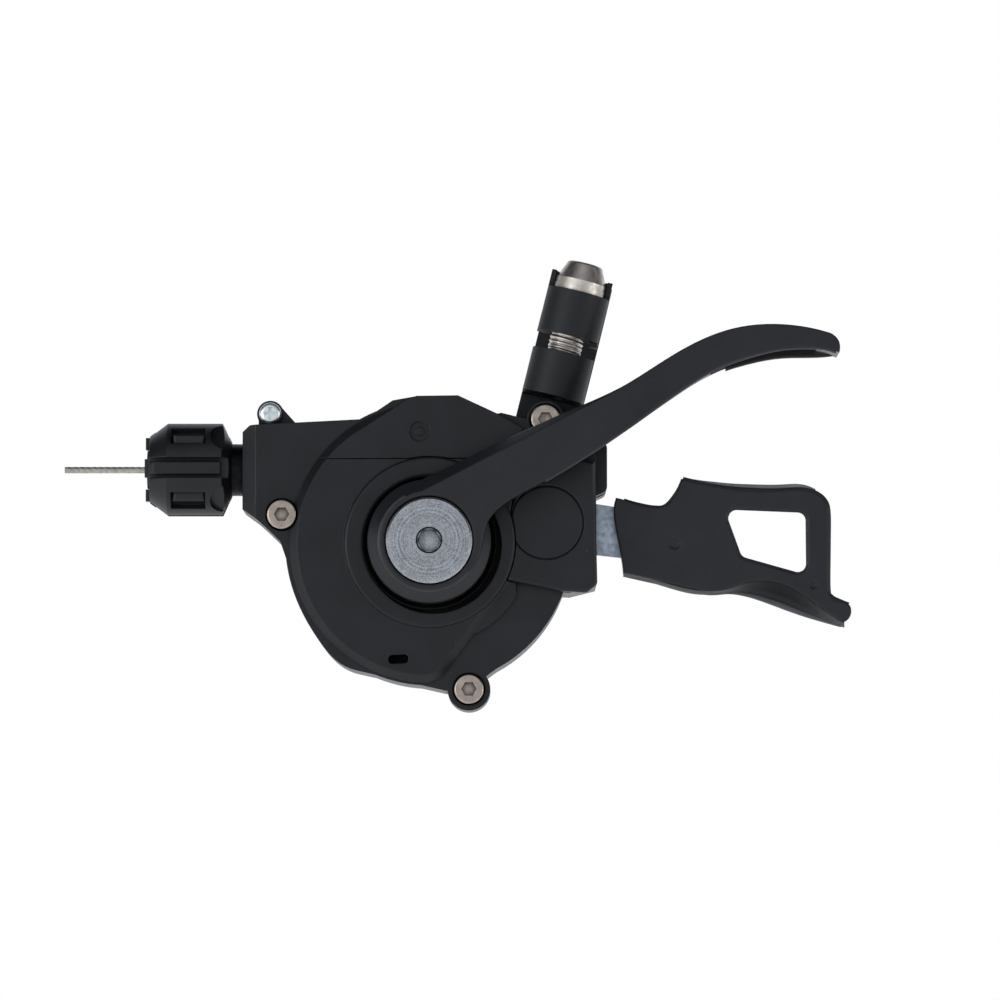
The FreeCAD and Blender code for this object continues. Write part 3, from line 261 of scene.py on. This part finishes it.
# black mouldings and coatings; beads share all but their colour
beadFinish = {"round": 0.0002, "rough": (0.30, 0.38), "specular": 0.5, "bump": 0.06, "fine": 5200.0,
              "wearAndHighlight": 0.0, "dust": 0.0}
plasticFinishes = {
    "caseBlack": {"dark": (0.0115, 0.0117, 0.0134), "light": (0.0155, 0.0158, 0.0182), "rough": (0.34, 0.44),
                  "reach": 0.0040, "round": 0.00028, "specular": 0.34, "bump": 0.16, "fine": 4200.0,
                  "wearAndHighlight": 0.6, "dust": 0.07},
    "leverBlack": {"dark": (0.0150, 0.0150, 0.0175), "light": (0.0195, 0.0195, 0.0228), "rough": (0.32, 0.41),
                   "round": 0.0007, "specular": 0.38, "bump": 0.10, "fine": 5200.0,
                   "wearAndHighlight": 0.6, "dust": 0.06},
    "knobBlack": {"dark": (0.0110, 0.0111, 0.0126), "light": (0.0150, 0.0152, 0.0172), "rough": (0.33, 0.42),
                  "round": 0.0003, "specular": 0.38, "bump": 0.08, "fine": 5200.0, "wearAndHighlight": 0.3, "dust": 0.03},
    "bandBlack": {"dark": (0.0095, 0.0096, 0.0110), "light": (0.0125, 0.0127, 0.0145), "rough": (0.46, 0.54),
                  "round": 0.0002, "specular": 0.40, "bump": 0.08, "fine": 6200.0, "wearAndHighlight": 0.3, "dust": 0.04},
    # painted highlight: a lighter copy of the black plastic for the beads on the lever's edge and hub rim
    "edgeBlack": {**beadFinish, "dark": (0.026, 0.026, 0.029), "light": (0.036, 0.036, 0.040)},
    # painted highlight: a light grey for the strip along the release pad's top edge
    "edgeLight": {**beadFinish, "dark": (0.20, 0.195, 0.195), "light": (0.30, 0.29, 0.29)},
    # painted highlight: a grey for the bead along the release pad's lower lip
    "lipGrey": {**beadFinish, "dark": (0.080, 0.080, 0.084), "light": (0.110, 0.110, 0.115)},
    # painted shade and painted light: a near-black, low-shine copy for the release pad's downward faces,
    # turning lighter grey towards the back
    "padUnderShade": {**beadFinish, "dark": (0.0022, 0.0022, 0.0026), "light": (0.0034, 0.0034, 0.0040),
                 "rough": (0.46, 0.54), "specular": 0.06,
                 "paintedLightFade": (0.060, 0.060, 0.063), "fadeFrom": "release_pad", "fadeInset": (0.005, 0.001)},
    "nylonGrey": {"dark": (0.10, 0.10, 0.105), "light": (0.14, 0.14, 0.145), "rough": (0.42, 0.52),
                  "round": 0.0002, "specular": 0.4, "bump": 0.08, "fine": 5200.0, "wearAndHighlight": 0.2, "dust": 0.0},
}
dustColour = (0.07, 0.07, 0.07)
# painted shade: the near-black colour that closed-in places darken towards
recessShadeColour = (0.002, 0.002, 0.0024)
recessRough = 0.85


def plasticMaterial(name, look):
    material = bpy.data.materials.new(name)
    material.use_nodes = True
    tree = material.node_tree
    shader = tree.nodes["Principled BSDF"]
    shader.inputs["Specular IOR Level"].default_value = look["specular"]
    grain = groupNode(tree, grainGroup, **{"Fine Per Metre": look["fine"]})
    wearAndHighlight = groupNode(tree, wearAndHighlightGroup, **{"Amount": look["wearAndHighlight"]})
    dust = groupNode(tree, dustGroup, **{"Share": look["dust"]})
    body = mixColour(tree, grain.outputs["Cloud"], look["dark"], look["light"])
    # painted light: the colour turns lighter from the front to the back of the named node
    if "paintedLightFade" in look:  # from the front to the back of the named node
        depths = [vertex.co.y for vertex in nodes[look["fadeFrom"]].data.vertices]
        depth = addNode(tree, "ShaderNodeSeparateXYZ", None, Vector=objectPoint(tree)).outputs[1]
        near, far = look["fadeInset"]
        share = remap(tree, depth, min(depths) + near, max(depths) - far)
        body = mixColour(tree, share, body, look["paintedLightFade"])
    # painted highlight, partly wear: along edges the colour goes towards three times the light tone
    rubbedAndLit = mixColour(tree, wearAndHighlight.outputs["Mask"], body, tuple(3.0 * c for c in look["light"]))
    recess = groupNode(tree, recessGroup, Reach=look.get("reach", 0.0022), Open=0.78, Closed=0.14)
    dusted = mixColour(tree, dust.outputs["Mask"], rubbedAndLit, dustColour)
    # painted shade: where the surface is closed in, the base colour darkens towards the near-black recess
    # colour
    shaded = mixColour(tree, recess.outputs["Open"], recessShadeColour, dusted)
    tree.links.new(shaded, shader.inputs["Base Color"])
    low, high = look["rough"]
    sheen = remap(tree, grain.outputs["Fine"], 0.0, 1.0, low, high)
    dull = remap(tree, recess.outputs["Open"], 0.0, 1.0, recessRough, sheen)
    tree.links.new(dull, shader.inputs["Roughness"])
    edge = addNode(tree, "ShaderNodeBevel", {"samples": 8}, Radius=look["round"])
    bump = addNode(tree, "ShaderNodeBump", None, Strength=look["bump"], Distance=0.00004,
                   Normal=edge.outputs[0])
    tree.links.new(grain.outputs["Height"], bump.inputs["Height"])
    tree.links.new(bump.outputs[0], shader.inputs["Normal"])
    return material


# plated and bare metals
metalFinishes = {
    "zincPlate": {"dark": (0.36, 0.42, 0.49), "light": (0.50, 0.56, 0.63),
                  "rough": (0.30, 0.44), "spots": 900.0},
    "pivotZinc": {"dark": (0.15, 0.16, 0.175), "light": (0.63, 0.65, 0.68),
                  "rough": (0.26, 0.40), "spots": 420.0, "turned": (pivotAt.x, pivotAt.z), "bump": 0.22},
    "nickelPlate": {"dark": (0.40, 0.335, 0.28), "light": (0.56, 0.475, 0.405),
                    "rough": (0.20, 0.32), "spots": 700.0},
    "boltBright": {"dark": (0.63, 0.56, 0.49), "light": (0.80, 0.73, 0.66),
                   "rough": (0.30, 0.42), "spots": 900.0},
    "brightZinc": {"dark": (0.82, 0.88, 0.90), "light": (0.96, 0.98, 0.98),
                   "rough": (0.30, 0.42), "spots": 700.0, "paintedRecessShade": 1.0},
    "toolSteel": {"dark": (0.20, 0.20, 0.21), "light": (0.30, 0.30, 0.31),
                  "rough": (0.32, 0.45), "spots": 700.0},
    "springWire": {"dark": (0.25, 0.25, 0.265), "light": (0.36, 0.36, 0.375),
                   "rough": (0.28, 0.40), "spots": 700.0},
    "cableWire": {"dark": (0.40, 0.375, 0.34), "light": (0.55, 0.52, 0.48),
                  "rough": (0.26, 0.36), "spots": 1400.0},
    "bushBrass": {"dark": (0.50, 0.36, 0.16), "light": (0.66, 0.50, 0.26),
                  "rough": (0.24, 0.36), "spots": 700.0},
    "stemDark": {"dark": (0.009, 0.009, 0.010), "light": (0.016, 0.016, 0.018),
                 "rough": (0.36, 0.46), "spots": 700.0},
}


def metalMaterial(name, look):
    material = bpy.data.materials.new(name)
    material.use_nodes = True
    tree = material.node_tree
    shader = tree.nodes["Principled BSDF"]
    shader.inputs["Metallic"].default_value = 1.0
    grain = groupNode(tree, grainGroup, **{"Fine Per Metre": 6000.0, "Cloud Per Metre": look["spots"]})
    tone = grain.outputs["Cloud"]
    height = grain.outputs["Height"]
    if "turned" in look:
        centreX, centreZ = look["turned"]
        rings = groupNode(tree, turningGroup, **{"Centre X": centreX, "Centre Z": centreZ})
        patches = mathNode(tree, "MULTIPLY", tone, 0.2)
        tone = mathNode(tree, "MULTIPLY_ADD", grain.outputs["Fine"], 0.5, patches)
        tone = mathNode(tree, "MULTIPLY_ADD", rings.outputs["Tone"], 0.3, tone)
        height = mathNode(tree, "MULTIPLY_ADD", rings.outputs["Height"], 3.0, height)
    recess = groupNode(tree, recessGroup, Reach=0.0016, Open=0.80, Closed=0.25)
    plated = mixColour(tree, tone, look["dark"], look["light"])
    # painted shade: in recesses the plated colour darkens towards a fraction of its dark tone; a factor of
    # 1.0 keeps the dark tone there
    paintedRecessShade = tuple(look.get("paintedRecessShade", 0.16) * c for c in look["dark"])
    tree.links.new(mixColour(tree, recess.outputs["Open"], paintedRecessShade, plated), shader.inputs["Base Color"])
    low, high = look["rough"]
    tree.links.new(remap(tree, grain.outputs["Cloud"], 0.0, 1.0, high, low), shader.inputs["Roughness"])
    bump = addNode(tree, "ShaderNodeBump", None, Strength=look.get("bump", 0.10), Distance=0.00003)
    tree.links.new(height, bump.inputs["Height"])
    tree.links.new(bump.outputs[0], shader.inputs["Normal"])
    return material


finishes = {name: plasticMaterial(name, look) for name, look in plasticFinishes.items()}
finishes.update({name: metalMaterial(name, look) for name, look in metalFinishes.items()})
print("finishes made:", len(finishes))

finishOf = {
    "caseBlack": ["base_body", "front_cover", "upper_cover", "side_cover", "rear_cap"],
    "leverBlack": ["main_lever", "release_pad"],
    "knobBlack": ["adjuster_knob"],
    "bandBlack": ["clamp_band"],
    "nylonGrey": ["winder", "adjuster_liner"],
    "zincPlate": ["release_plate", "lever_plate", "ratchet_wheel", "thrust_washer"],
    "pivotZinc": ["pivot_bolt"],
    "brightZinc": ["lug_screw"],
    "nickelPlate": ["case_screw_left", "case_screw_low", "case_screw_top", "band_screw", "axle_nut"],
    "boltBright": ["clamp_bolt", "clamp_washer"],
    "toolSteel": ["feed_pawl", "hold_pawl", "feed_pawl_pin", "hold_pawl_pin", "release_pin"],
    "springWire": ["lever_spring", "release_spring", "winder_spring"],
    "cableWire": ["inner_cable", "cable_head"],
    "bushBrass": ["axle_bush"],
    "stemDark": ["adjuster_stem", "clamp_nut"],
}
for finish, names in finishOf.items():
    for name in names:
        nodes[name].data.materials.clear()
        nodes[name].data.materials.append(finishes[finish])
# painted shade: the release pad's faces that look down take the darker finish
thumbFace = {"node": "release_pad", "finish": "padUnderShade", "facing": -0.3}  # the faces that look down
padMesh = nodes[thumbFace["node"]].data
padMesh.materials.append(finishes[thumbFace["finish"]])
for face in padMesh.polygons:
    if face.normal.z < thumbFace["facing"]:
        face.material_index = 1
print("finishes on the CAD nodes")


# detail pieces that the plain solids leave out
def addPiece(name, vertices, faces, finish, look):
    mesh = bpy.data.meshes.new(name)
    mesh.from_pydata(vertices, [], faces)
    build = bmesh.new()
    build.from_mesh(mesh)
    bmesh.ops.remove_doubles(build, verts=build.verts, dist=1e-7)
    bmesh.ops.recalc_face_normals(build, faces=build.faces)
    build.to_mesh(mesh)
    build.free()
    mesh.shade_smooth()
    mesh.set_sharp_from_angle(angle=math.radians(38))
    mesh.materials.append(finishes[finish])
    piece = bpy.data.objects.new(name, mesh)
    bpy.context.scene.collection.objects.link(piece)
    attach(piece, look["rides"])


def sweep(rings, closed=False):
    count = len(rings[0])
    vertices = [point for ring in rings for point in ring]
    faces = []
    for step in range(len(rings) - 1):
        for side in range(count):
            here = step * count + side
            after = step * count + (side + 1) % count
            faces.append((here, after, after + count, here + count))
    if not closed:
        faces.append(tuple(range(count)))
        faces.append(tuple(len(vertices) - count + side for side in range(count)))
    return vertices, faces


# thread on the clamp bolt where the band's gap shows it
threadLook = {"rides": "case", "slot": "nickel_steel",
              "at": (0.0, -0.0155, 0.0), "axis": (0.241922, 0.0, 0.970296),
              "root": 2.98 * mm, "crest": 3.2 * mm, "pitch": 0.85 * mm, "half": 1.9 * mm, "perTurn": 48}


def makeThread(look):
    axis = Vector(look["axis"])
    right = axis.cross(Vector((0.0, -1.0, 0.0))).normalized()
    front = right.cross(axis).normalized()
    half = look["pitch"] * 0.49
    profile = [(-half, look["root"] - 0.1 * mm), (-half, look["root"]), (-0.06 * mm, look["crest"]),
               (0.06 * mm, look["crest"]), (half, look["root"]), (half, look["root"] - 0.1 * mm)]
    turns = 2 * look["half"] / look["pitch"]
    steps = int(turns * look["perTurn"])
    rings = []
    for step in range(steps + 1):
        angle = math.tau * step / look["perTurn"]
        outward = right * math.cos(angle) + front * math.sin(angle)
        lift = -look["half"] + look["pitch"] * step / look["perTurn"]
        rings.append([Vector(look["at"]) + axis * (lift + a) + outward * r for a, r in profile])
    addPiece("clamp_thread", *sweep(rings), "boltBright", look)


# flat grips in the knob's dents, square to the mould's opening direction
gripLook = {"rides": "adjuster_knob", "slot": "knob_plastic", "nose": 0.8 * mm,
            "start": 4.6 * mm, "end": 10.4 * mm, "low": 3.6 * mm, "high": 6.15 * mm,
            "deep": 4.4 * mm, "face": 6.75 * mm, "bevel": 0.15 * mm}


def makeGrips(look):
    low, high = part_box("adjuster_knob")
    centre = (low + high) / 2
    bevel = look["bevel"]
    for name, front, up in (("a", -1, 1), ("b", -1, -1), ("c", 1, 1), ("d", 1, -1)):
        rings = []
        for depth, inset in ((look["deep"], 0.0), (look["face"] - bevel, 0.0), (look["face"], bevel)):
            x0 = low.x + look["nose"] + look["start"] + inset
            x1 = low.x + look["nose"] + look["end"] - inset
            y = centre.y + front * depth
            z0 = centre.z + up * (look["low"] + inset)
            z1 = centre.z + up * (look["high"] - inset)
            corners = [(x0, z0), (x1, z0), (x1, z1), (x0, z1)]
            rings.append([Vector((x, y, z)) for x, z in corners])
        addPiece("knob_grip_" + name, *sweep(rings), "leverBlack", look)


# rounded beads along moulded edges, as tubes half sunk in the solid
def smoothPath(points, steps=8):
    ends = [points[0]] + list(points) + [points[-1]]
    path = []
    for index in range(len(points) - 1):
        a, b, c, d = (Vector(ends[index + k]) for k in range(4))
        for step in range(steps):
            t = step / steps
            path.append(0.5 * (2 * b + (c - a) * t + (2 * a - 5 * b + 4 * c - d) * t * t
                               + (3 * b - a - 3 * c + d) * t ** 3))
    path.append(Vector(points[-1]))
    return path


def roundedLoop(corners, radius, steps=6):
    loop = []
    for index, corner in enumerate(corners):
        here = Vector(corner)
        back = (Vector(corners[index - 1]) - here).normalized()
        ahead = (Vector(corners[(index + 1) % len(corners)]) - here).normalized()
        half = math.acos(max(-1.0, min(1.0, back.dot(ahead)))) / 2
        middle = here + (back + ahead).normalized() * (radius / math.sin(half))
        first = here + back * (radius / math.tan(half)) - middle
        last = here + ahead * (radius / math.tan(half)) - middle
        for step in range(steps + 1):
            spoke = first.lerp(last, step / steps)
            loop.append(middle + spoke.normalized() * radius)
    return loop


def tube(path, radii, sides=12, closed=False):
    rings = []
    count = len(path)
    for index, point in enumerate(path):
        before = path[index - 1] if closed or index else point
        after = path[(index + 1) % count] if closed or index + 1 < count else point
        along = (after - before).normalized()
        across = along.cross(Vector((0.0, 1.0, 0.0))).normalized()
        share = index / (count - 1) * (len(radii) - 1)
        step = min(int(share), max(len(radii) - 2, 0))
        radius = radii[step] + (radii[min(step + 1, len(radii) - 1)] - radii[step]) * (share - step)
        rings.append([point + radius * (math.cos(math.tau * k / sides) * across
                                        + math.sin(math.tau * k / sides) * Vector((0.0, 1.0, 0.0)))
                      for k in range(sides)])
    return rings + rings[:1] if closed else rings


# outlines in millimetres from the pivot, across and up
def placed(points, level):
    return [Vector((pivotAt.x + x * mm, level, pivotAt.z + z * mm)) for x, z in points]


beads = {
    "pad_bead": {"points": [(36.4, 8.4), (38.8, 7.7), (42.0, 7.1), (44.2, 7.4), (46.3, 9.9), (47.45, 12.3)],
                 "level": padFront + 0.3 * mm, "radii": [0.3 * mm]},
    "pad_crest": {"points": [(47.45, 12.3), (52.0, 11.25), (57.2, 10.45), (64.0, 10.1), (69.5, 10.35),
                             (72.2, 9.8), (74.1, 8.3), (74.75, 6.0), (74.75, 0.0), (74.7, -8.2),
                             (75.3, -9.8), (77.0, -10.7), (78.5, -11.3)],
                  "level": padFront + 0.48 * mm, "radii": [0.48 * mm]},
    "lever_bead": {"points": [(75.6, 35.15), (72.3, 35.9), (65.6, 35.7), (58.9, 34.1), (52.1, 31.4),
                              (45.4, 27.1), (37.8, 21.6), (29.2, 15.75), (21.5, 11.05)],
                   "level": armFront + 0.4 * mm, "radii": [0.36 * mm], "dip": True, "finish": "edgeBlack"},
    # painted highlight: the strip along the pad's top edge takes the light grey finish
    "pad_strip": {"points": [(49.0, 12.2), (52.0, 11.6), (57.2, 11.0), (64.0, 10.75), (69.5, 10.9),
                             (72.3, 10.1)],
                  "level": padFront + 1.5 * mm, "radii": [r * mm for r in (0.25, 0.5, 0.6, 0.6, 0.45)],
                  "finish": "edgeLight"},
}
# painted highlight: the lip bead's grey stands for the light along the pad's lower edge
lipBead = {"points": [(77.6, -14.7), (71.0, -12.6), (66.0, -10.7), (62.5, -9.5), (59.6, -8.75),
                      (56.5, -8.4), (51.6, -8.6), (43.0, -6.75), (36.8, -5.4)],
           "level": padHigh.y - 1.0 * mm,
           "radii": [r * mm for r in (0.5, 0.7, 0.85, 0.8, 0.7, 0.6, 0.5, 0.42, 0.36, 0.32)]}
windowBead = {"corners": [(54.75, 7.0), (70.85, 6.35), (70.95, -6.15), (58.2, -2.55)], "round": 1.9 * mm,
              "radius": 0.4 * mm}
hubBead = {"reach": 9.3, "angles": range(118, 331, 4), "radius": 0.34 * mm}
# painted shade: a thin dark ring round the pivot head's socket, where its edge is in shade
socketShadeRing = {"reach": 2.3, "steps": 48, "lift": 0.02 * mm, "radius": 0.09 * mm}
armTurn = 22  # degrees that the lever's arm rises, and how deep its edge lies along it
dipTable = [(43.9, 0.0), (50.0, 0.6), (57.5, 1.0), (92.0, 1.3)]


def onCircle(reach, degrees):
    return [(reach * math.cos(math.radians(a)), reach * math.sin(math.radians(a))) for a in degrees]


def dipAt(x, z):
    turn = math.radians(armTurn)
    along = x * math.cos(turn) + z * math.sin(turn)
    for (u0, d0), (u1, d1) in zip(dipTable, dipTable[1:]):
        if u0 <= along <= u1:
            return d0 + (d1 - d0) * (along - u0) / (u1 - u0)
    return 0.0


def makeBeads():
    onPad = {"rides": "release_lever", "slot": "lever_plastic"}
    onLever = {"rides": "lever", "slot": "lever_plastic"}
    for name, bead in beads.items():
        path = smoothPath(placed(bead["points"], bead["level"]))
        if "dip" in bead:
            for point in path:
                point.y += dipAt((point.x - pivotAt.x) / mm, (point.z - pivotAt.z) / mm) * mm
        addPiece(name, *sweep(tube(path, bead["radii"])), bead.get("finish", "leverBlack"),
                 onLever if "dip" in bead else onPad)
    lipPath = smoothPath(placed(lipBead["points"], lipBead["level"]))
    addPiece("pad_lip", *sweep(tube(lipPath, lipBead["radii"])), "lipGrey", onPad)
    radius = hubBead["radius"]
    rim = placed(onCircle(hubBead["reach"], hubBead["angles"]), armFront + radius)
    addPiece("hub_bead", *sweep(tube(rim, [radius])), "edgeBlack", onLever)
    # painted shade: dark ring round the pivot head's socket
    turns = [360.0 * k / socketShadeRing["steps"] for k in range(socketShadeRing["steps"])]
    ring = placed(onCircle(socketShadeRing["reach"], turns), headFront + socketShadeRing["lift"])
    ringMesh = sweep(tube(ring, [socketShadeRing["radius"]], 8, closed=True), closed=True)
    addPiece("socket_shade_ring", *ringMesh, "stemDark", {"rides": "case", "slot": "zinc_steel"})
    radius = windowBead["radius"]
    loop = roundedLoop(placed(windowBead["corners"], padFront + radius), windowBead["round"])
    loopMesh = sweep(tube(loop, [radius], closed=True), closed=True)
    addPiece("pad_window", *loopMesh, "leverBlack", onPad)


# wires of the inner cable, laid round its core
cableLook = {"rides": "case", "slot": "stainless_wire", "lay": 7.0 * mm, "wires": 6, "perLay": 20,
             "wire": 0.2 * mm, "round": 0.43 * mm, "intoKnob": 1.5 * mm}


def makeWires(look):
    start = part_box("inner_cable")[0].x
    knobLow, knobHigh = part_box("adjuster_knob")
    middle = (knobLow + knobHigh) / 2
    length = knobLow.x - start + look["intoKnob"]
    steps = int(length / look["lay"] * look["perLay"])
    for wire in range(look["wires"]):
        path = []
        for step in range(steps + 1):
            turn = math.tau * (wire / look["wires"] + step / look["perLay"])
            y = middle.y + look["round"] * math.cos(turn)
            z = middle.z + look["round"] * math.sin(turn)
            path.append(Vector((start + length * step / steps, y, z)))
        addPiece("cable_wire_%d" % wire, *sweep(tube(path, [look["wire"]], 8)), "cableWire", look)


makeThread(threadLook)
makeGrips(gripLook)
makeBeads()
makeWires(cableLook)
print("detail pieces made")


# stage: pale floor below, white surroundings, softboxes left, right and behind
stageSetup = {"floorColour": (0.86, 0.86, 0.86, 1.0), "floorDrop": 0.116, "floorSize": 8.0, "floorLift": 0.40,
              "left": 0.92, "right": 0.43, "overhead": 0.04, "backdrop": 1.0, "tint": (0.88, 0.93, 1.0, 1.0)}


def makeFloor(setup):
    mesh = bpy.data.meshes.new("floor")
    half = setup["floorSize"] / 2
    low = cadBounds[0][2] - setup["floorDrop"]
    corners = [(-half, -half, low), (half, -half, low), (half, half, low), (-half, half, low)]
    mesh.from_pydata(corners, [], [(0, 1, 2, 3)])
    floor = bpy.data.objects.new("floor", mesh)
    bpy.context.scene.collection.objects.link(floor)
    material = bpy.data.materials.new("floorPale")
    material.use_nodes = True
    tree = material.node_tree
    shader = tree.nodes["Principled BSDF"]
    shader.inputs["Base Color"].default_value = setup["floorColour"]
    shader.inputs["Roughness"].default_value = 0.9
    shader.inputs["Specular IOR Level"].default_value = 0.1
    shader.inputs["Emission Strength"].default_value = 1.0
    path = tree.nodes.new("ShaderNodeLightPath")
    seen = mathNode(tree, "MAXIMUM", path.outputs["Is Camera Ray"], path.outputs["Is Glossy Ray"])
    seen = mathNode(tree, "MAXIMUM", seen, path.outputs["Is Transmission Ray"])
    lift = setup["floorLift"]
    glow = mixColour(tree, seen, (0.0, 0.0, 0.0), (lift, lift, lift))
    tree.links.new(glow, shader.inputs["Emission Color"])
    mesh.materials.append(material)


def makeWorld(setup):
    world = bpy.data.worlds.new("studio")
    bpy.context.scene.world = world
    world.use_nodes = True
    tree = world.node_tree
    tree.nodes.clear()
    path = tree.nodes.new("ShaderNodeLightPath")
    seen = mathNode(tree, "MAXIMUM", path.outputs["Is Camera Ray"], path.outputs["Is Transmission Ray"])
    facing = tree.nodes.new("ShaderNodeTexCoord").outputs["Generated"]
    along = addNode(tree, "ShaderNodeSeparateXYZ", None, Vector=facing)
    around = remap(tree, along.outputs[0], -0.8, 0.8, setup["left"], setup["right"])
    room = remap(tree, along.outputs[2], 0.0, 0.45, around, setup["overhead"])
    front = remap(tree, along.outputs[1], -0.8, -0.35, around, room)
    level = remap(tree, along.outputs[1], 0.35, 0.9, front, setup["backdrop"])
    light = addNode(tree, "ShaderNodeBackground", None, Color=setup["tint"], Strength=level)
    white = addNode(tree, "ShaderNodeBackground", None, Color=(1.0, 1.0, 1.0, 1.0), Strength=1.0)
    mix = tree.nodes.new("ShaderNodeMixShader")
    out = tree.nodes.new("ShaderNodeOutputWorld")
    tree.links.new(seen, mix.inputs[0])
    tree.links.new(light.outputs[0], mix.inputs[1])
    tree.links.new(white.outputs[0], mix.inputs[2])
    tree.links.new(mix.outputs[0], out.inputs[0])


lampColour = (0.92, 0.96, 1.0)
softboxes = {
    "leftBox": {"at": (-0.70, -0.62, -0.20), "size": (0.60, 0.80), "power": 4.0},
    "rightBox": {"at": (0.62, -0.30, -0.18), "size": (0.40, 0.80), "power": 1.5},
    "backBox": {"at": (0.10, 0.95, 0.60), "size": (1.20, 0.50), "power": 7.0, "mirrored": False},
}


def makeSoftboxes(boxes):
    for name, box in boxes.items():
        data = bpy.data.lights.new(name, "AREA")
        data.shape = "RECTANGLE"
        data.size, data.size_y = box["size"]
        data.energy = box["power"]
        data.color = lampColour
        lamp = bpy.data.objects.new(name, data)
        lamp.location = box["at"]
        aim = pivotAt - Vector(box["at"])
        lamp.rotation_mode = "QUATERNION"
        lamp.rotation_quaternion = aim.to_track_quat("-Z", "Y")
        lamp.visible_glossy = box.get("mirrored", True)
        bpy.context.scene.collection.objects.link(lamp)


makeFloor(stageSetup)
makeWorld(stageSetup)
makeSoftboxes(softboxes)
bpy.context.scene.view_settings.view_transform = "Standard"
print("stage and lights set")
